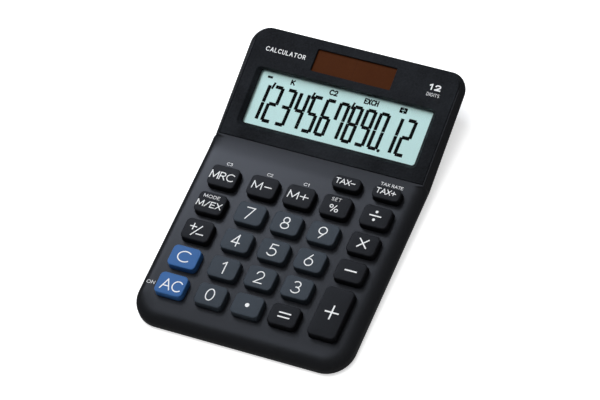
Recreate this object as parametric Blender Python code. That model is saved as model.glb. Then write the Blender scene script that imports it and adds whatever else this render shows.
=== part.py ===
"""A small desk calculator with a tilted display, 26 sprung keys, a solar cell and a button cell.

It is modelled as it is assembled: an upper case with the key deck, a lower case, a display panel with its
liquid-crystal stack, a main board under a rubber dome mat, one moulding for each key, and the battery door.
Metres, +Z up. X runs across the keys, Y from the front edge to the display. The origin is under the middle
of the body, at the level of the table.
"""

from math import cos, pi, radians, sin, sqrt, tan

import bmesh
import bpy
from mathutils import Matrix, Vector

for leftover in list(bpy.data.objects):
    bpy.data.objects.remove(leftover, do_unlink=True)

mm = 0.001

# Clearances
gap = 0.3 * mm  # between pieces that rest on each other
key_clearance = 0.25 * mm  # from a key to each side of its opening in the deck
key_stop_gap = 0.2 * mm  # from the flange of a fully pressed key to the mat
lap = 0.3 * mm  # how far a piece that is joined on runs into the other
past = 1.0 * mm  # how far a cut runs past what it cuts

# Body
body_width = 103.5 * mm
foot_height = 0.8 * mm
deck_tilt = radians(1.75)
display_tilt = radians(12.3)
blend_length = 9.0 * mm  # the deck curves up to the display over this length
parting_front_height = 1.7 * mm
parting_back_drop = 2.6 * mm  # from the display's plane to the parting line, at the back
front_skirt = 1.0 * mm  # the upright strip between the parting line and the front's rolled edge
side_skirt = 0.1 * mm  # the same on the sides, where the deck starts to curve up
front_corner_radius = 12.5 * mm
back_corner_radius = 8.5 * mm
side_round = (10.0 * mm, 3.7 * mm)  # the deck's rolled side edge, across and down
front_round_across = 12.0 * mm
roll_steps = (25, 50, 72, 90)  # degrees up the rolled edge
roll_tightening = 0.75  # the share of the front corner's radius that is lost up the rolled edge
roll_inside = 0.6  # the inner face starts to fall at this share of the rolled edge
shoulder = (0.2 * mm, 0.1 * mm)  # the fall of its edge, under the deck and under the display
rim_flare = 1.55 * mm  # how far the display's side walls lean out
rim_share = 0.8  # of the height of these walls leans
case_wall = 1.6 * mm
deck_wall = 1.5 * mm
hull_inset = 0.8 * mm  # the lower case stands back from the skirt
hull_wall = 1.4 * mm
hull_round = 0.5 * mm  # around the floor
hull_front_step = 0.6 * mm
floor_wall = 1.2 * mm
side_taper = radians(28)
back_taper = radians(18)

# Keys
key_margin = 8.45 * mm  # from the outer keys to the body's side
key_gaps = (4.1 * mm, 3.6 * mm)  # between keys, across and along the deck
outer_gap = 1.6 * mm  # the outer columns stand this much further out
bottom_row = 17.3 * mm  # along the deck, from the front edge
row_pitch = 14.0 * mm
small_row_step = 12.1 * mm  # from the top row to the two small keys
seam_margin = 8.9 * mm  # from the small keys' row to the seam
small_key_inset = 0.2 * mm  # a small key is this much narrower than the others
small_key_depth = 6.4 * mm
key_draft = 0.65 * mm  # how much narrower a key's face is than its base, on each side
key_rise = 3.3 * mm
key_upright = 0.2 * mm  # the sides start to draft this far above the deck
key_bevel = (0.5 * mm, 0.35 * mm)  # around the face, across and down
key_corner = 2.2 * mm
key_travel = 1.1 * mm
flange_width = 0.8 * mm
flange_thickness = 0.6 * mm

# Mat and board
mat_thickness = 0.5 * mm
dome_radii = (3.4 * mm, 2.2 * mm)  # at the mat and under the key
board_thickness = 0.8 * mm
board_side_margin = 7.25 * mm  # from the board to the body's side
board_front = 9.0 * mm  # along the deck, from the front edge
board_back_margin = 3.3 * mm  # from the board to the seam
board_floor_gap = 0.5 * mm  # under the board's front edge
mat_margin = 1.0 * mm  # the mat stops this far inside the board's edge
sheet_corner = 2.0 * mm  # on the mat and the board

# Display
panel_rim = 1.2 * mm  # the strip of case beside the panel
panel_thickness = 0.8 * mm
panel_floor = 1.2 * mm
panel_step = 1.6 * mm  # the wall between the panel's pocket and the space under the deck
step_slope = 0.2 * mm  # the inner face of that wall leans by this much
panel_back_rim = 1.1 * mm
panel_front = 0.45 * mm  # from the seam
panel_back_radius = 6.5 * mm
view_side_margin = 10.3 * mm  # from what shows of the liquid crystal to the body's side
view_depth = 25.6 * mm
view_front_margin = 8.2 * mm  # along the display, from the seam
lip_width = 2.0 * mm  # of the slopes beside the view
lip_front = 2.2 * mm
lip_back = 0.5 * mm
lip_depth = 2.0 * mm
lip_corners = (1.2 * mm, 2.4 * mm)  # around the view and at the panel's face
collar_wall = 0.5 * mm
collar_corner = 3.0 * mm
window_lap = 1.0 * mm
window_thickness = 0.5 * mm
lcd_margin = 2.0 * mm
lcd_thickness = 1.6 * mm
lcd_corner = 0.3 * mm
plate_corner = 1.0 * mm  # on the window, the frame and the battery door
frame_bar = 6.0 * mm
frame_overhang = 0.5 * mm  # past the glass, at the back
frame_thickness = 1.2 * mm
solar_view = (38.2 * mm, 10.4 * mm)
view_to_solar = 4.2 * mm
solar_back_margin = 5.5 * mm  # to the back edge
solar_corner = 0.4 * mm
solar_margin = 0.5 * mm
solar_thickness = 1.1 * mm
connector_inset = 11.45 * mm  # from the view's side
connector_thickness = 0.2 * mm
connector_laps = (2.6 * mm, 0.2 * mm)  # under the glass and over the board
connector_slack = (0.5 * mm, 1.2 * mm)  # past the glass and the board, before it bends

# Fasteners
screw_radius = 0.9 * mm
screw_head_radius = 1.9 * mm
screw_head_height = 0.8 * mm
screw_head_round = 0.3 * mm
screw_point = 0.4 * mm
boss_wall = 0.5 * mm
case_screw_back = (14.85 * mm, 12.6 * mm)  # in from the body's side and from the back edge
case_screw_back_reach = 6.0 * mm  # above its ring
screw_ring = (1.0 * mm, 0.5 * mm)  # around a case screw's recess, its width and height
screw_seat_depth = 1.2 * mm  # of a case screw's recess

# Battery
cell_radius = 5.8 * mm
cell_height = 5.4 * mm
cell_from_side = 29.75 * mm
door_width = 26.0 * mm
door_margin = 2.2 * mm  # from the cell to the door's front and back edges
door_offset = 4.0 * mm  # the door's middle from the cell's middle
door_screw_from_edge = 3.5 * mm
door_screw_reach = 2.5 * mm  # past the ledge
door_seat_depth = 0.8 * mm
ledge_width = 2.0 * mm
ledge_height = 1.0 * mm
contact_width = 4.0 * mm
contact_thickness = 0.2 * mm
contact_reach = 2.0 * mm  # past the cell's middle
contact_end = 1.0 * mm  # the upper contact stops this far above the ledge
contact_slot_corner = 0.1 * mm
cell_wall = 1.2 * mm
cell_wall_share = 0.8  # of the cell's height
cell_cap = (0.8, 0.5 * mm)  # its radius as a share of the cell's, and its height
cell_round = 0.3 * mm
lead_radius = 0.4 * mm
lead_bend = 3.0 * mm
lead_clearance = 1.5 * mm  # from the rear wall
lead_board_lap = 0.6 * mm
lead_x = {"positive": 13.0 * mm, "negative": 17.0 * mm}

# Feet and parts on the board
foot_radius = 3.5 * mm
foot_recess = 0.6 * mm
foot_round = 0.4 * mm
front_foot = (13.75 * mm, 15.0 * mm)  # in from the body's side and from the front edge
back_foot = (14.75 * mm, 27.0 * mm)  # in from the body's side and from the back edge
chip_size = (12.0 * mm, 12.0 * mm, 1.2 * mm)
chip_corner = 4.0 * mm
chip_taper = 0.8
capacitor_radius = 1.9 * mm
capacitor_length = 6.0 * mm
capacitor_groove = (0.25 * mm, 1.5 * mm)  # its depth, and how far up the can it is
capacitor_round = 0.3 * mm
capacitor_from_side = 15.75 * mm
capacitor_from_board = 1.0 * mm

# Worked out from the sizes above
half_width = body_width / 2
inner_pitch = (half_width - key_margin - outer_gap + key_gaps[0] / 2) / 2.5
outer_pitch = inner_pitch + outer_gap
key_base = (inner_pitch - key_gaps[0], row_pitch - key_gaps[1])
small_key_base = (key_base[0] - small_key_inset, small_key_depth)
view_size = (body_width - 2 * view_side_margin, view_depth)
rows = [bottom_row + row_pitch * n for n in range(5)]
small_row = rows[-1] + small_row_step
column_x = [-inner_pitch - outer_pitch, -inner_pitch, 0.0, inner_pitch, inner_pitch + outer_pitch]
view_middle = view_front_margin + view_size[1] / 2
solar_middle = view_front_margin + view_size[1] + view_to_solar + solar_view[1] / 2
display_length = solar_middle + solar_view[1] / 2 + solar_back_margin
deck_depth = small_row + seam_margin
display_depth = display_length * cos(display_tilt)
body_depth = deck_depth + display_depth
front_edge = -body_depth / 2
back_edge = body_depth / 2
seam_y = front_edge + deck_depth
panel_half_width = half_width - rim_flare - panel_rim
board_half_width = half_width - board_side_margin
board_span = (board_front, deck_depth - board_back_margin)
boss_x = (column_x[3] + column_x[4]) / 2  # between the outer two columns
board_screw_at = [(rows[1] + rows[2]) / 2, (rows[4] + small_row) / 2]  # along the deck
case_screw_front = (rows[0] + rows[1]) / 2
floor_top = foot_height + floor_wall
flange_top = deck_wall + gap  # below the deck's plane, as are the next six
flange_bottom = flange_top + flange_thickness
dome_top = flange_bottom + gap
mat_top = flange_bottom + key_travel + key_stop_gap
mat_bottom = mat_top + mat_thickness
board_top = mat_bottom + gap
board_bottom = board_top + board_thickness
deck_slope = tan(deck_tilt)
display_slope = tan(display_tilt)
deck_front_height = floor_top + board_floor_gap + board_bottom - deck_slope * board_front
seam_height = deck_front_height + deck_slope * deck_depth + blend_length * (display_slope - deck_slope) / 2
back_height = seam_height + display_slope * display_depth
level_depth = deck_depth - blend_length
side_parting = deck_front_height + deck_slope * level_depth - side_round[1] - side_skirt
parting_deck_slope = (side_parting - parting_front_height) / level_depth
parting_seam_height = parting_front_height + parting_deck_slope * deck_depth
parting_display_slope = (back_height - parting_back_drop - parting_seam_height) / display_depth
front_round_drop = deck_front_height - parting_front_height - front_skirt
pocket_depth = panel_thickness + gap
display_floor = pocket_depth + panel_floor
window_top = display_floor + gap
lcd_top = window_top + window_thickness + gap
lcd_bottom = lcd_top + lcd_thickness
frame_top = lcd_bottom + gap
frame_bottom = frame_top + frame_thickness
hole_radius = screw_radius + gap
boss_radius = hole_radius + boss_wall
lcd_size = [size + 2 * lcd_margin for size in view_size]
frame_front = view_middle - lcd_size[1] / 2 + connector_laps[0] + 2 * gap
bar_back = seam_y + (frame_front + frame_bar) * cos(display_tilt) + frame_bottom * sin(display_tilt)
wall_radius = cell_radius + gap + cell_wall
cell_x = cell_from_side - half_width
cell_y = bar_back + wall_radius + 2 * gap + 1.5 * contact_thickness  # the upper contact clears the bar
door_size = (door_width, 2 * (cell_radius + door_margin))
cell_bottom = floor_top + gap + contact_thickness + gap
cell_top = cell_bottom + cell_height
ring_top = floor_top + screw_ring[1]
case_seat = foot_height + screw_seat_depth
door_seat = foot_height + door_seat_depth
ledge_top = floor_top + gap + ledge_height
solar_top = panel_thickness + gap


# --- Making solids -----------------------------------------------------------------------------------------


def material(name, colour, roughness, metallic=0.0):
    made = bpy.data.materials.new(name)
    made.use_nodes = True
    shader = made.node_tree.nodes["Principled BSDF"]
    shader.inputs["Base Color"].default_value = (*colour, 1)
    shader.inputs["Roughness"].default_value = roughness
    shader.inputs["Metallic"].default_value = metallic
    made.diffuse_color = (*colour, 1)
    return made


def solid(name, bm, look, parent=None, at=(0, 0, 0), smooth=30):
    bmesh.ops.recalc_face_normals(bm, faces=bm.faces)
    if bm.calc_volume(signed=True) < 0:  # a thin tray can come out turned inwards
        bmesh.ops.reverse_faces(bm, faces=bm.faces)
    mesh = bpy.data.meshes.new(name)
    bm.to_mesh(mesh)
    bm.free()
    mesh.materials.append(look)
    mesh.shade_smooth()
    mesh.set_sharp_from_angle(angle=radians(smooth))
    obj = bpy.data.objects.new(name, mesh)
    obj.parent = parent
    obj.location = at
    bpy.context.scene.collection.objects.link(obj)
    return obj


def boolean(target, bm, operation="DIFFERENCE", parent=None):
    """Cuts bm from the target, or joins it on. bm holds bodies that don't touch each other."""
    tool = solid(f"{target.name}_{operation.lower()}_{len(target.modifiers)}", bm, looks["tool"], parent)
    tool.hide_render = True
    tool.display_type = "WIRE"
    step = target.modifiers.new(operation.title(), "BOOLEAN")
    step.operation = operation
    step.object = tool


def loft(bm, rings, closed=False):
    """Skins rings of equal length. The ends are capped, unless the last ring meets the first."""
    rows = [[bm.verts.new(point) for point in ring] for ring in rings]
    pairs = list(zip(rows, rows[1:] + rows[:1] if closed else rows[1:]))
    for lower, upper in pairs:
        for n in range(len(lower)):
            m = (n + 1) % len(lower)
            bm.faces.new((lower[n], lower[m], upper[m], upper[n]))
    if not closed:
        bm.faces.new(list(reversed(rows[0])))
        bm.faces.new(rows[-1])
    return rows


def rounded(width, depth, radius, z, middle=(0, 0), steps=2):
    """A rounded rectangle at height z, counter-clockwise."""
    radius = min(radius, width / 2.01, depth / 2.01)
    points = []
    for corner, (sx, sy) in enumerate([(1, -1), (1, 1), (-1, 1), (-1, -1)]):
        cx = middle[0] + sx * (width / 2 - radius)
        cy = middle[1] + sy * (depth / 2 - radius)
        for n in range(steps + 1):
            angle = pi / 2 * (corner - 1 + n / steps)
            points.append(Vector((cx + radius * cos(angle), cy + radius * sin(angle), z)))
    return points


def block(bm, width, depth, low, high, middle, radius, steps=1):
    loft(bm, [rounded(width, depth, radius, z, middle, steps) for z in (low, high)])


def circle(radius, z, middle=(0, 0), steps=16):
    turns = [2 * pi * n / steps for n in range(steps)]
    return [Vector((middle[0] + radius * cos(t), middle[1] + radius * sin(t), z)) for t in turns]


def turned(bm, profile, middle=(0, 0), steps=16):
    """A turned piece: profile lists (radius, height) from one end to the other."""
    loft(bm, [circle(radius, z, middle, steps) for radius, z in profile])


def strip(bm, path, width, thickness):
    """A bent leaf of sheet metal or film. path lists its (y, z) points and width runs along X."""
    sides = []
    for side in (1, -1):
        for n, (y, z) in enumerate(path):
            before, after = Vector(path[max(n - 1, 0)]), Vector(path[min(n + 1, len(path) - 1)])
            along = (after - before).normalized()
            sides.append((y - side * along.y * thickness / 2, z + side * along.x * thickness / 2))
    outline = sides[: len(path)] + list(reversed(sides[len(path) :]))
    loft(bm, [[Vector((x, y, z)) for y, z in outline] for x in (-width / 2, width / 2)])


def lead(name, points, look):
    """A round insulated lead. It runs through the points as a smooth curve with filled ends."""
    curve = bpy.data.curves.new(name, "CURVE")
    curve.dimensions = "3D"
    curve.bevel_depth = lead_radius
    curve.bevel_resolution = 1
    curve.use_fill_caps = True
    spans = len(points) - 1
    path = []
    for n in range(spans):
        a, b = Vector(points[n]), Vector(points[n + 1])
        before = Vector(points[max(n - 1, 0)])
        after = Vector(points[min(n + 2, spans)])
        for step in range(5):
            t = step / 5
            path.append(
                b * t * t * (3 - 2 * t)
                + a * (1 - t * t * (3 - 2 * t))
                + (b - before) / 2 * (t**3 - 2 * t * t + t)
                + (after - a) / 2 * (t**3 - t * t)
            )
    path.append(Vector(points[-1]))
    spline = curve.splines.new("POLY")
    spline.points.add(len(path) - 1)
    for point, place in zip(spline.points, path):
        point.co = (*place, 1)
    curve.materials.append(look)
    obj = bpy.data.objects.new(name, curve)
    bpy.context.scene.collection.objects.link(obj)


def frame(name, at, tilt):
    empty = bpy.data.objects.new(name, None)
    empty.location = at
    empty.rotation_euler = (tilt, 0, 0)
    bpy.context.scene.collection.objects.link(empty)
    return empty


looks = {
    "tool": material("tool", (1, 0, 0), 0.5),
    "case": material("satin_charcoal_abs", (0.030, 0.031, 0.034), 0.38),
    "panel": material("grained_black_abs", (0.013, 0.013, 0.015), 0.6),
    "clear": material("clear_acrylic", (0.85, 0.9, 0.88), 0.05),
    "lcd": material("lcd_glass", (0.52, 0.73, 0.72), 0.2),
    "solar": material("amorphous_silicon_cell", (0.09, 0.04, 0.03), 0.2),
    "grey_key": material("slate_key_plastic", (0.105, 0.125, 0.16), 0.42),
    "dark_key": material("black_key_plastic", (0.022, 0.023, 0.027), 0.42),
    "blue_key": material("blue_key_plastic", (0.03, 0.22, 0.55), 0.4),
    "rubber": material("silicone_rubber", (0.35, 0.36, 0.36), 0.7),
    "foot": material("black_rubber", (0.02, 0.02, 0.02), 0.8),
    "board": material("phenolic_board", (0.42, 0.25, 0.09), 0.5),
    "inner": material("inner_frame_abs", (0.6, 0.6, 0.58), 0.5),
    "chip": material("epoxy_blob", (0.01, 0.01, 0.01), 0.3),
    "sleeve": material("capacitor_sleeve", (0.02, 0.03, 0.12), 0.4),
    "steel": material("bright_steel", (0.6, 0.6, 0.6), 0.25, 1.0),
    "film": material("printed_film", (0.5, 0.42, 0.2), 0.4),
    "red": material("red_lead", (0.5, 0.02, 0.02), 0.45),
    "black": material("black_lead", (0.02, 0.02, 0.02), 0.45),
}

deck = frame("deck_frame", (0, front_edge, deck_front_height), deck_tilt)
display = frame("display_frame", (0, seam_y, seam_height), display_tilt)
bpy.context.view_layer.update()
from_deck = deck.matrix_world.copy()
from_display = display.matrix_world.copy()


# --- The case's outer form ---------------------------------------------------------------------------------


def towards_display(y):
    """0 on the flat deck, 1 on the display, and the share of the blend in between."""
    return min(max((y - seam_y) / blend_length + 1, 0), 1)


def top(y):
    """Height of the deck or the display at y."""
    into = min(max(y - seam_y + blend_length, 0), blend_length)
    rise = (display_slope - deck_slope) * (into**2 / (2 * blend_length) + max(y - seam_y, 0))
    return deck_front_height + deck_slope * (y - front_edge) + rise


def parting(y):
    """Height of the line where the two halves of the case meet."""
    before, after = min(y, seam_y) - front_edge, max(y - seam_y, 0)
    return parting_front_height + parting_deck_slope * before + parting_display_slope * after


def outline(side_inset, front_inset, back_inset, front_radius, back_radius, height):
    """A plan outline of the case lifted to height(y, end), where end is 0 on a side and 1 at the front edge.

    side_inset is a function of y. The right half comes first, from front to back, then the left half.
    """
    front, back = front_edge + front_inset, back_edge - back_inset
    steps = 5
    right = []

    def side(y):
        return half_width - side_inset(y)

    for n in range(steps + 1):
        angle = pi / 2 * n / steps
        y = front + front_radius * (1 - sin(angle))
        x = side(front + front_radius) - front_radius * (1 - cos(angle))
        right.insert(0, (x, y, sin(angle) ** 2))
    step_back = panel_step + step_slope
    for before in (blend_length, blend_length * 2 / 3, blend_length / 3, step_back, panel_step, 0):
        right.append((side(seam_y - before), seam_y - before, 0))
    for n in range(steps + 1):
        angle = pi / 2 * n / steps
        y = back - back_radius * (1 - sin(angle))
        x = side(back - back_radius) - back_radius * (1 - cos(angle))
        right.append((x, y, 0))
    ring = [Vector((x, y, height(y, end))) for x, y, end in right]
    return ring + [Vector((-p.x, p.y, p.z)) for p in reversed(ring)]


def ladder(bm, row):
    """Closes a ring with strips across it, so that each strip is flat although the ring isn't."""
    for n in range(len(row) // 2 - 1):
        bm.faces.new((row[n], row[n + 1], row[-2 - n], row[-1 - n]))


def shell(bm, outer, inner):
    """A tray: the rings of its outside and of its inside both start at the open edge.

    Its walls curve both ways, so they are cut into triangles before anything is joined to them.
    """
    rows = []
    for rings in (outer, inner):
        made = [[bm.verts.new(point) for point in ring] for ring in rings]
        ladder(bm, made[-1])
        rows.append(made)
    chain = list(reversed(rows[0])) + rows[1]
    for lower, upper in zip(chain, chain[1:]):
        for n in range(len(lower)):
            m = (n + 1) % len(lower)
            bm.faces.new((lower[n], lower[m], upper[m], upper[n]))
    bmesh.ops.triangulate(bm, faces=bm.faces[:], quad_method="FIXED")


def outer_ring(turn):
    """One ring of the upper case's outside, where turn goes from 0 at the skirt to 90 degrees on top."""
    away, down = 1 - cos(turn), 1 - sin(turn)

    def inset(y):
        share = towards_display(y)
        return side_round[0] * away * (1 - share) + rim_flare * sin(turn) * share

    def height(y, end):
        share = towards_display(y)
        round_drop = side_round[1] + (front_round_drop - side_round[1]) * end
        rim_drop = rim_share * (top(y) - parting(y))
        return top(y) - down * (round_drop * (1 - share) + rim_drop * share)

    radius = front_corner_radius * (1 - roll_tightening * away)
    return outline(inset, front_round_across * away, rim_flare * sin(turn), radius, back_corner_radius, height)


def inner_ring(extra, height, front_extra=0.0):
    """One ring of the upper case's inside, set in by the wall and by extra on the deck's sides."""

    def inset(y):
        return case_wall + extra * (1 - towards_display(y)) + rim_flare * towards_display(y)

    radius = front_corner_radius - case_wall - roll_tightening * front_extra
    back = case_wall + rim_flare
    return outline(inset, case_wall + front_extra, back, radius, back_corner_radius - back / 2, height)


def under_deck(y, end):
    """Height of the case's inner face: under the deck, or under the display's floor past the step."""
    return top(y) - (deck_wall if y < seam_y - panel_step - step_slope / 2 else display_floor)


def under_edge(y, end):
    share = towards_display(y)
    drop = side_round[1] + (front_round_drop - side_round[1]) * end + shoulder[0]
    return top(y) - drop * (1 - share) - (display_floor + shoulder[1]) * share


def hull_inset_at(z, wall, rounding=0.0):
    """How far the lower case stands in from the body's width at height z, as a function of y."""
    return lambda y: hull_inset + wall + rounding + max(parting(y) - gap - z, 0) * tan(side_taper)


def hull_back_inset(z):
    """How far the inner face of the lower case stands in from the back edge at height z."""
    return hull_inset + hull_wall + (back_height - parting_back_drop - gap - z) * tan(back_taper)


def hull_ring(z, wall, rounding=0.0):
    """A ring of the lower case at height z, or along the parting line when z is None."""
    if z is None:
        edge = hull_inset + wall
        rear = back_corner_radius - wall
        front = front_corner_radius - wall
        return outline(lambda y: edge, edge, edge, front, rear, lambda y, e: parting(y) - gap)
    back = hull_back_inset(z) + wall - hull_wall + rounding
    front = hull_inset + wall + rounding + hull_front_step
    radius = front_corner_radius - wall
    inset = hull_inset_at(z, wall, rounding)
    return outline(inset, front, back, radius, back_corner_radius - wall, lambda y, e: z)


# --- Upper case --------------------------------------------------------------------------------------------

tall_base = (key_base[0], key_base[1] + row_pitch)


def corner_of(base):
    return min(key_corner, base[1] / 2.5)


# name, column, row, base size and look of each key, row by row from the display to the front edge
key_plan = [
    ("key_tax_minus", 3, small_row, small_key_base, "dark_key"),
    ("key_tax_plus", 4, small_row, small_key_base, "dark_key"),
    ("key_plus", 4, (rows[0] + rows[1]) / 2, tall_base, "dark_key"),
]
key_rows = [
    ["all_clear", "0", "point", "equals", None],
    ["clear", "1", "2", "3", None],
    ["sign", "4", "5", "6", "minus"],
    ["exchange", "7", "8", "9", "multiply"],
    ["memory_recall", "memory_minus", "memory_plus", "percent", "divide"],
]
grey_keys = {"point", *"0123456789"}
for row, names in zip(rows, key_rows):
    for column, name in enumerate(names):
        if name:
            look = "grey_key" if name in grey_keys else "blue_key" if "clear" in name else "dark_key"
            key_plan.append((f"key_{name}", column, row, key_base, look))

bm = bmesh.new()
skirt = outer_ring(0)
parting_ring = [Vector((p.x, p.y, parting(p.y))) for p in skirt]
outer = [parting_ring, skirt] + [outer_ring(radians(turn)) for turn in roll_steps]
inner_edge = inner_ring(0, lambda y, end: parting(y))
inner = [
    inner_edge,
    inner_ring(0, under_edge),
    inner_ring(
        roll_inside * side_round[0] - case_wall, under_deck, roll_inside * front_round_across - case_wall
    ),
]
shell(bm, outer, inner)
upper_case = solid("upper_case", bm, looks["case"], smooth=25)

# The bosses take the board's screws, square to the deck, and the case's screws, upright.
bm = bmesh.new()
for side in (-1, 1):
    for v in board_screw_at:
        turned(bm, [(boss_radius, lap - deck_wall), (boss_radius, gap - board_top)], (side * boss_x, v))
bmesh.ops.transform(bm, matrix=from_deck, verts=bm.verts)
case_screws = [(side * boss_x, front_edge + case_screw_front) for side in (-1, 1)]
case_screws += [(side * (half_width - case_screw_back[0]), back_edge - case_screw_back[1]) for side in (-1, 1)]
for x, y in case_screws:
    at_front = y < seam_y
    foot = top(y) - board_top + gap if at_front else ring_top + gap
    roof = top(y) - (deck_wall if at_front else display_floor) + lap
    turned(bm, [(boss_radius, foot), (boss_radius, roof)], (x, y))
boolean(upper_case, bm, "UNION")

# Openings for the keys, straight through the deck
bm = bmesh.new()
for name, column, v, base, look in key_plan:
    width, depth = (size + 2 * key_clearance for size in base)
    corner = corner_of(base) + key_clearance
    through = (-deck_wall - past, past)
    loft(bm, [rounded(width, depth, corner, z, (column_x[column], v)) for z in through])
boolean(upper_case, bm, parent=deck)

# The panel's pocket, with openings in its floor for the liquid crystal and the solar cell
bm = bmesh.new()
panel_back = display_length - panel_back_rim


def panel_outline(grow, z):
    """The display panel's outline: square at the seam and round at the back, grown by a clearance."""
    width, low, high = panel_half_width + grow, panel_front - grow, panel_back + grow
    radius = panel_back_radius + grow
    points = [Vector((-width, low, z)), Vector((width, low, z))]
    for side in (1, -1):
        for n in range(6):
            turn = pi / 2 * (n / 5 if side > 0 else 1 - n / 5)
            x, y = width - radius + radius * cos(turn), high - radius + radius * sin(turn)
            points.append(Vector((side * x, y, z)))
    return points


view_outer = [size + 2 * lip_width for size in view_size]
collar = [size + 2 * collar_wall for size in view_outer]
solar_size = [size + 2 * solar_margin for size in solar_view]
loft(bm, [panel_outline(gap, z) for z in (-pocket_depth, past)])
boolean(upper_case, bm, parent=display)
bm = bmesh.new()
through = (-display_floor - past, past)
block(bm, collar[0] + 2 * gap, collar[1] + 2 * gap, *through, (0, view_middle), collar_corner + gap, 3)
solar_well = [size + 2 * gap for size in solar_size]
block(bm, *solar_well, *through, (0, solar_middle), solar_corner + gap)
boolean(upper_case, bm, parent=display)

# Pilot holes in the bosses, blind under the deck
bm = bmesh.new()
for side in (-1, 1):
    for v in board_screw_at:
        at = (side * boss_x, v)
        turned(bm, [(hole_radius, -board_top - past), (hole_radius, -deck_wall - gap)], at, 12)
bmesh.ops.transform(bm, matrix=from_deck, verts=bm.verts)
case_screw_tip = {}
for x, y in case_screws:
    tip = top(y) - deck_wall - 2 * gap if y < seam_y else ring_top + case_screw_back_reach
    case_screw_tip[x, y] = tip - gap
    turned(bm, [(hole_radius, floor_top - past), (hole_radius, tip)], (x, y), 12)
boolean(upper_case, bm)


# --- Lower case --------------------------------------------------------------------------------------------

bm = bmesh.new()
outer = [hull_ring(None, 0), hull_ring(foot_height, 0, hull_round)]
inner = [hull_ring(None, hull_wall), hull_ring(floor_top, hull_wall, hull_round)]
shell(bm, outer, inner)
lower_case = solid("lower_case", bm, looks["case"], smooth=25)

# On the floor: a raised ring around each case screw, the battery's ledge and the wall around the cell
bm = bmesh.new()
ring_radius = screw_head_radius + screw_ring[0]
for at in case_screws:
    turned(bm, [(ring_radius, floor_top - lap), (ring_radius, ring_top)], at)
door_middle = (cell_x + door_offset, cell_y)
ledge_size = [size + 2 * gap + 2 * ledge_width for size in door_size]
block(bm, *ledge_size, floor_top - lap, ledge_top, door_middle, plate_corner)
boolean(lower_case, bm, "UNION")
bm = bmesh.new()
cell_bore = cell_radius + gap
wall_top = cell_bottom + cell_wall_share * cell_height
turned(bm, [(wall_radius, ledge_top - lap), (wall_radius, wall_top)], (cell_x, cell_y), 24)
boolean(lower_case, bm, "UNION")

# The door's rebate, the cell's bore, a slot for the lower contact, the screw holes and the feet's recesses
bm = bmesh.new()
rebate = [size + 2 * gap for size in door_size]
block(bm, *rebate, foot_height - past, floor_top + gap, door_middle, plate_corner + gap, 2)
boolean(lower_case, bm)
bm = bmesh.new()
turned(bm, [(cell_bore, floor_top), (cell_bore, wall_top + past)], (cell_x, cell_y), 24)
boolean(lower_case, bm)
bm = bmesh.new()
slot_width = contact_width + 2 * gap
slot_reach = wall_radius + past
slot_middle = (cell_x, cell_y + slot_reach / 2)
block(bm, slot_width, slot_reach, floor_top + gap / 2, wall_top + past, slot_middle, contact_slot_corner)
boolean(lower_case, bm)
bm = bmesh.new()
for at in case_screws:
    profile = [(screw_head_radius + gap, foot_height - past), (screw_head_radius + gap, case_seat)]
    profile += [(hole_radius, case_seat), (hole_radius, ring_top + past)]
    turned(bm, profile, at)
feet = [(side * (half_width - front_foot[0]), front_edge + front_foot[1]) for side in (-1, 1)]
feet += [(side * (half_width - back_foot[0]), back_edge - back_foot[1]) for side in (-1, 1)]
foot_top = foot_height + foot_recess - gap
for at in feet:
    recess = foot_height + foot_recess
    turned(bm, [(foot_radius + gap, foot_height - past), (foot_radius + gap, recess)], at)
door_screw = (door_middle[0] + door_size[0] / 2 - door_screw_from_edge, cell_y)
turned(bm, [(hole_radius, floor_top), (hole_radius, ledge_top + past)], door_screw, 12)
boolean(lower_case, bm)


# --- Keys --------------------------------------------------------------------------------------------------

for name, column, v, base, look in key_plan:
    corner = corner_of(base)
    face = [size - 2 * key_draft for size in base]
    crown = [size - 2 * key_bevel[0] for size in face]
    flange = [size + 2 * flange_width for size in base]
    rings = [rounded(*flange, corner, -flange_bottom), rounded(*flange, corner, -flange_top)]
    rings += [rounded(*base, corner, -flange_top), rounded(*base, corner, key_upright)]
    rings += [rounded(*face, corner, key_rise - key_bevel[1]), rounded(*crown, corner, key_rise)]
    bm = bmesh.new()
    loft(bm, rings)
    solid(name, bm, looks[look], deck, (column_x[column], v, 0), 40)


# --- Mat, board and what is on it --------------------------------------------------------------------------

board_middle = (board_span[0] + board_span[1]) / 2
board_length = board_span[1] - board_span[0]
screw_places = [(side * boss_x, v) for side in (-1, 1) for v in board_screw_at]
screw_places += [(x, (y - front_edge) / cos(deck_tilt)) for x, y in case_screws[:2]]
boss_hole = boss_radius + gap

bm = bmesh.new()
mat_size = (2 * (board_half_width - mat_margin), board_length - 2 * mat_margin)
block(bm, *mat_size, -mat_bottom, -mat_top, (0, board_middle), sheet_corner, 3)
mat = solid("rubber_dome_mat", bm, looks["rubber"], deck)
bm = bmesh.new()
for name, column, v, base, look in key_plan:
    shrink = min(1, (base[1] + 2 * flange_width) / 2 / (dome_radii[0] + gap))
    foot, head = (radius * shrink for radius in dome_radii)
    profile = [(foot, -mat_top - lap), (foot, -mat_top), (head, -dome_top)]
    turned(bm, profile, (column_x[column], v), 10)
boolean(mat, bm, "UNION", deck)
bm = bmesh.new()
for at in screw_places:
    turned(bm, [(boss_hole, -mat_bottom - past), (boss_hole, past - mat_top)], at, 12)
boolean(mat, bm, parent=deck)

bm = bmesh.new()
block(bm, 2 * board_half_width, board_length, -board_bottom, -board_top, (0, board_middle), sheet_corner, 3)
board = solid("main_board", bm, looks["board"], deck)
bm = bmesh.new()
for at in screw_places:
    turned(bm, [(hole_radius, -board_bottom - past), (hole_radius, past - board_top)], at, 12)
boolean(board, bm, parent=deck)

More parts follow.
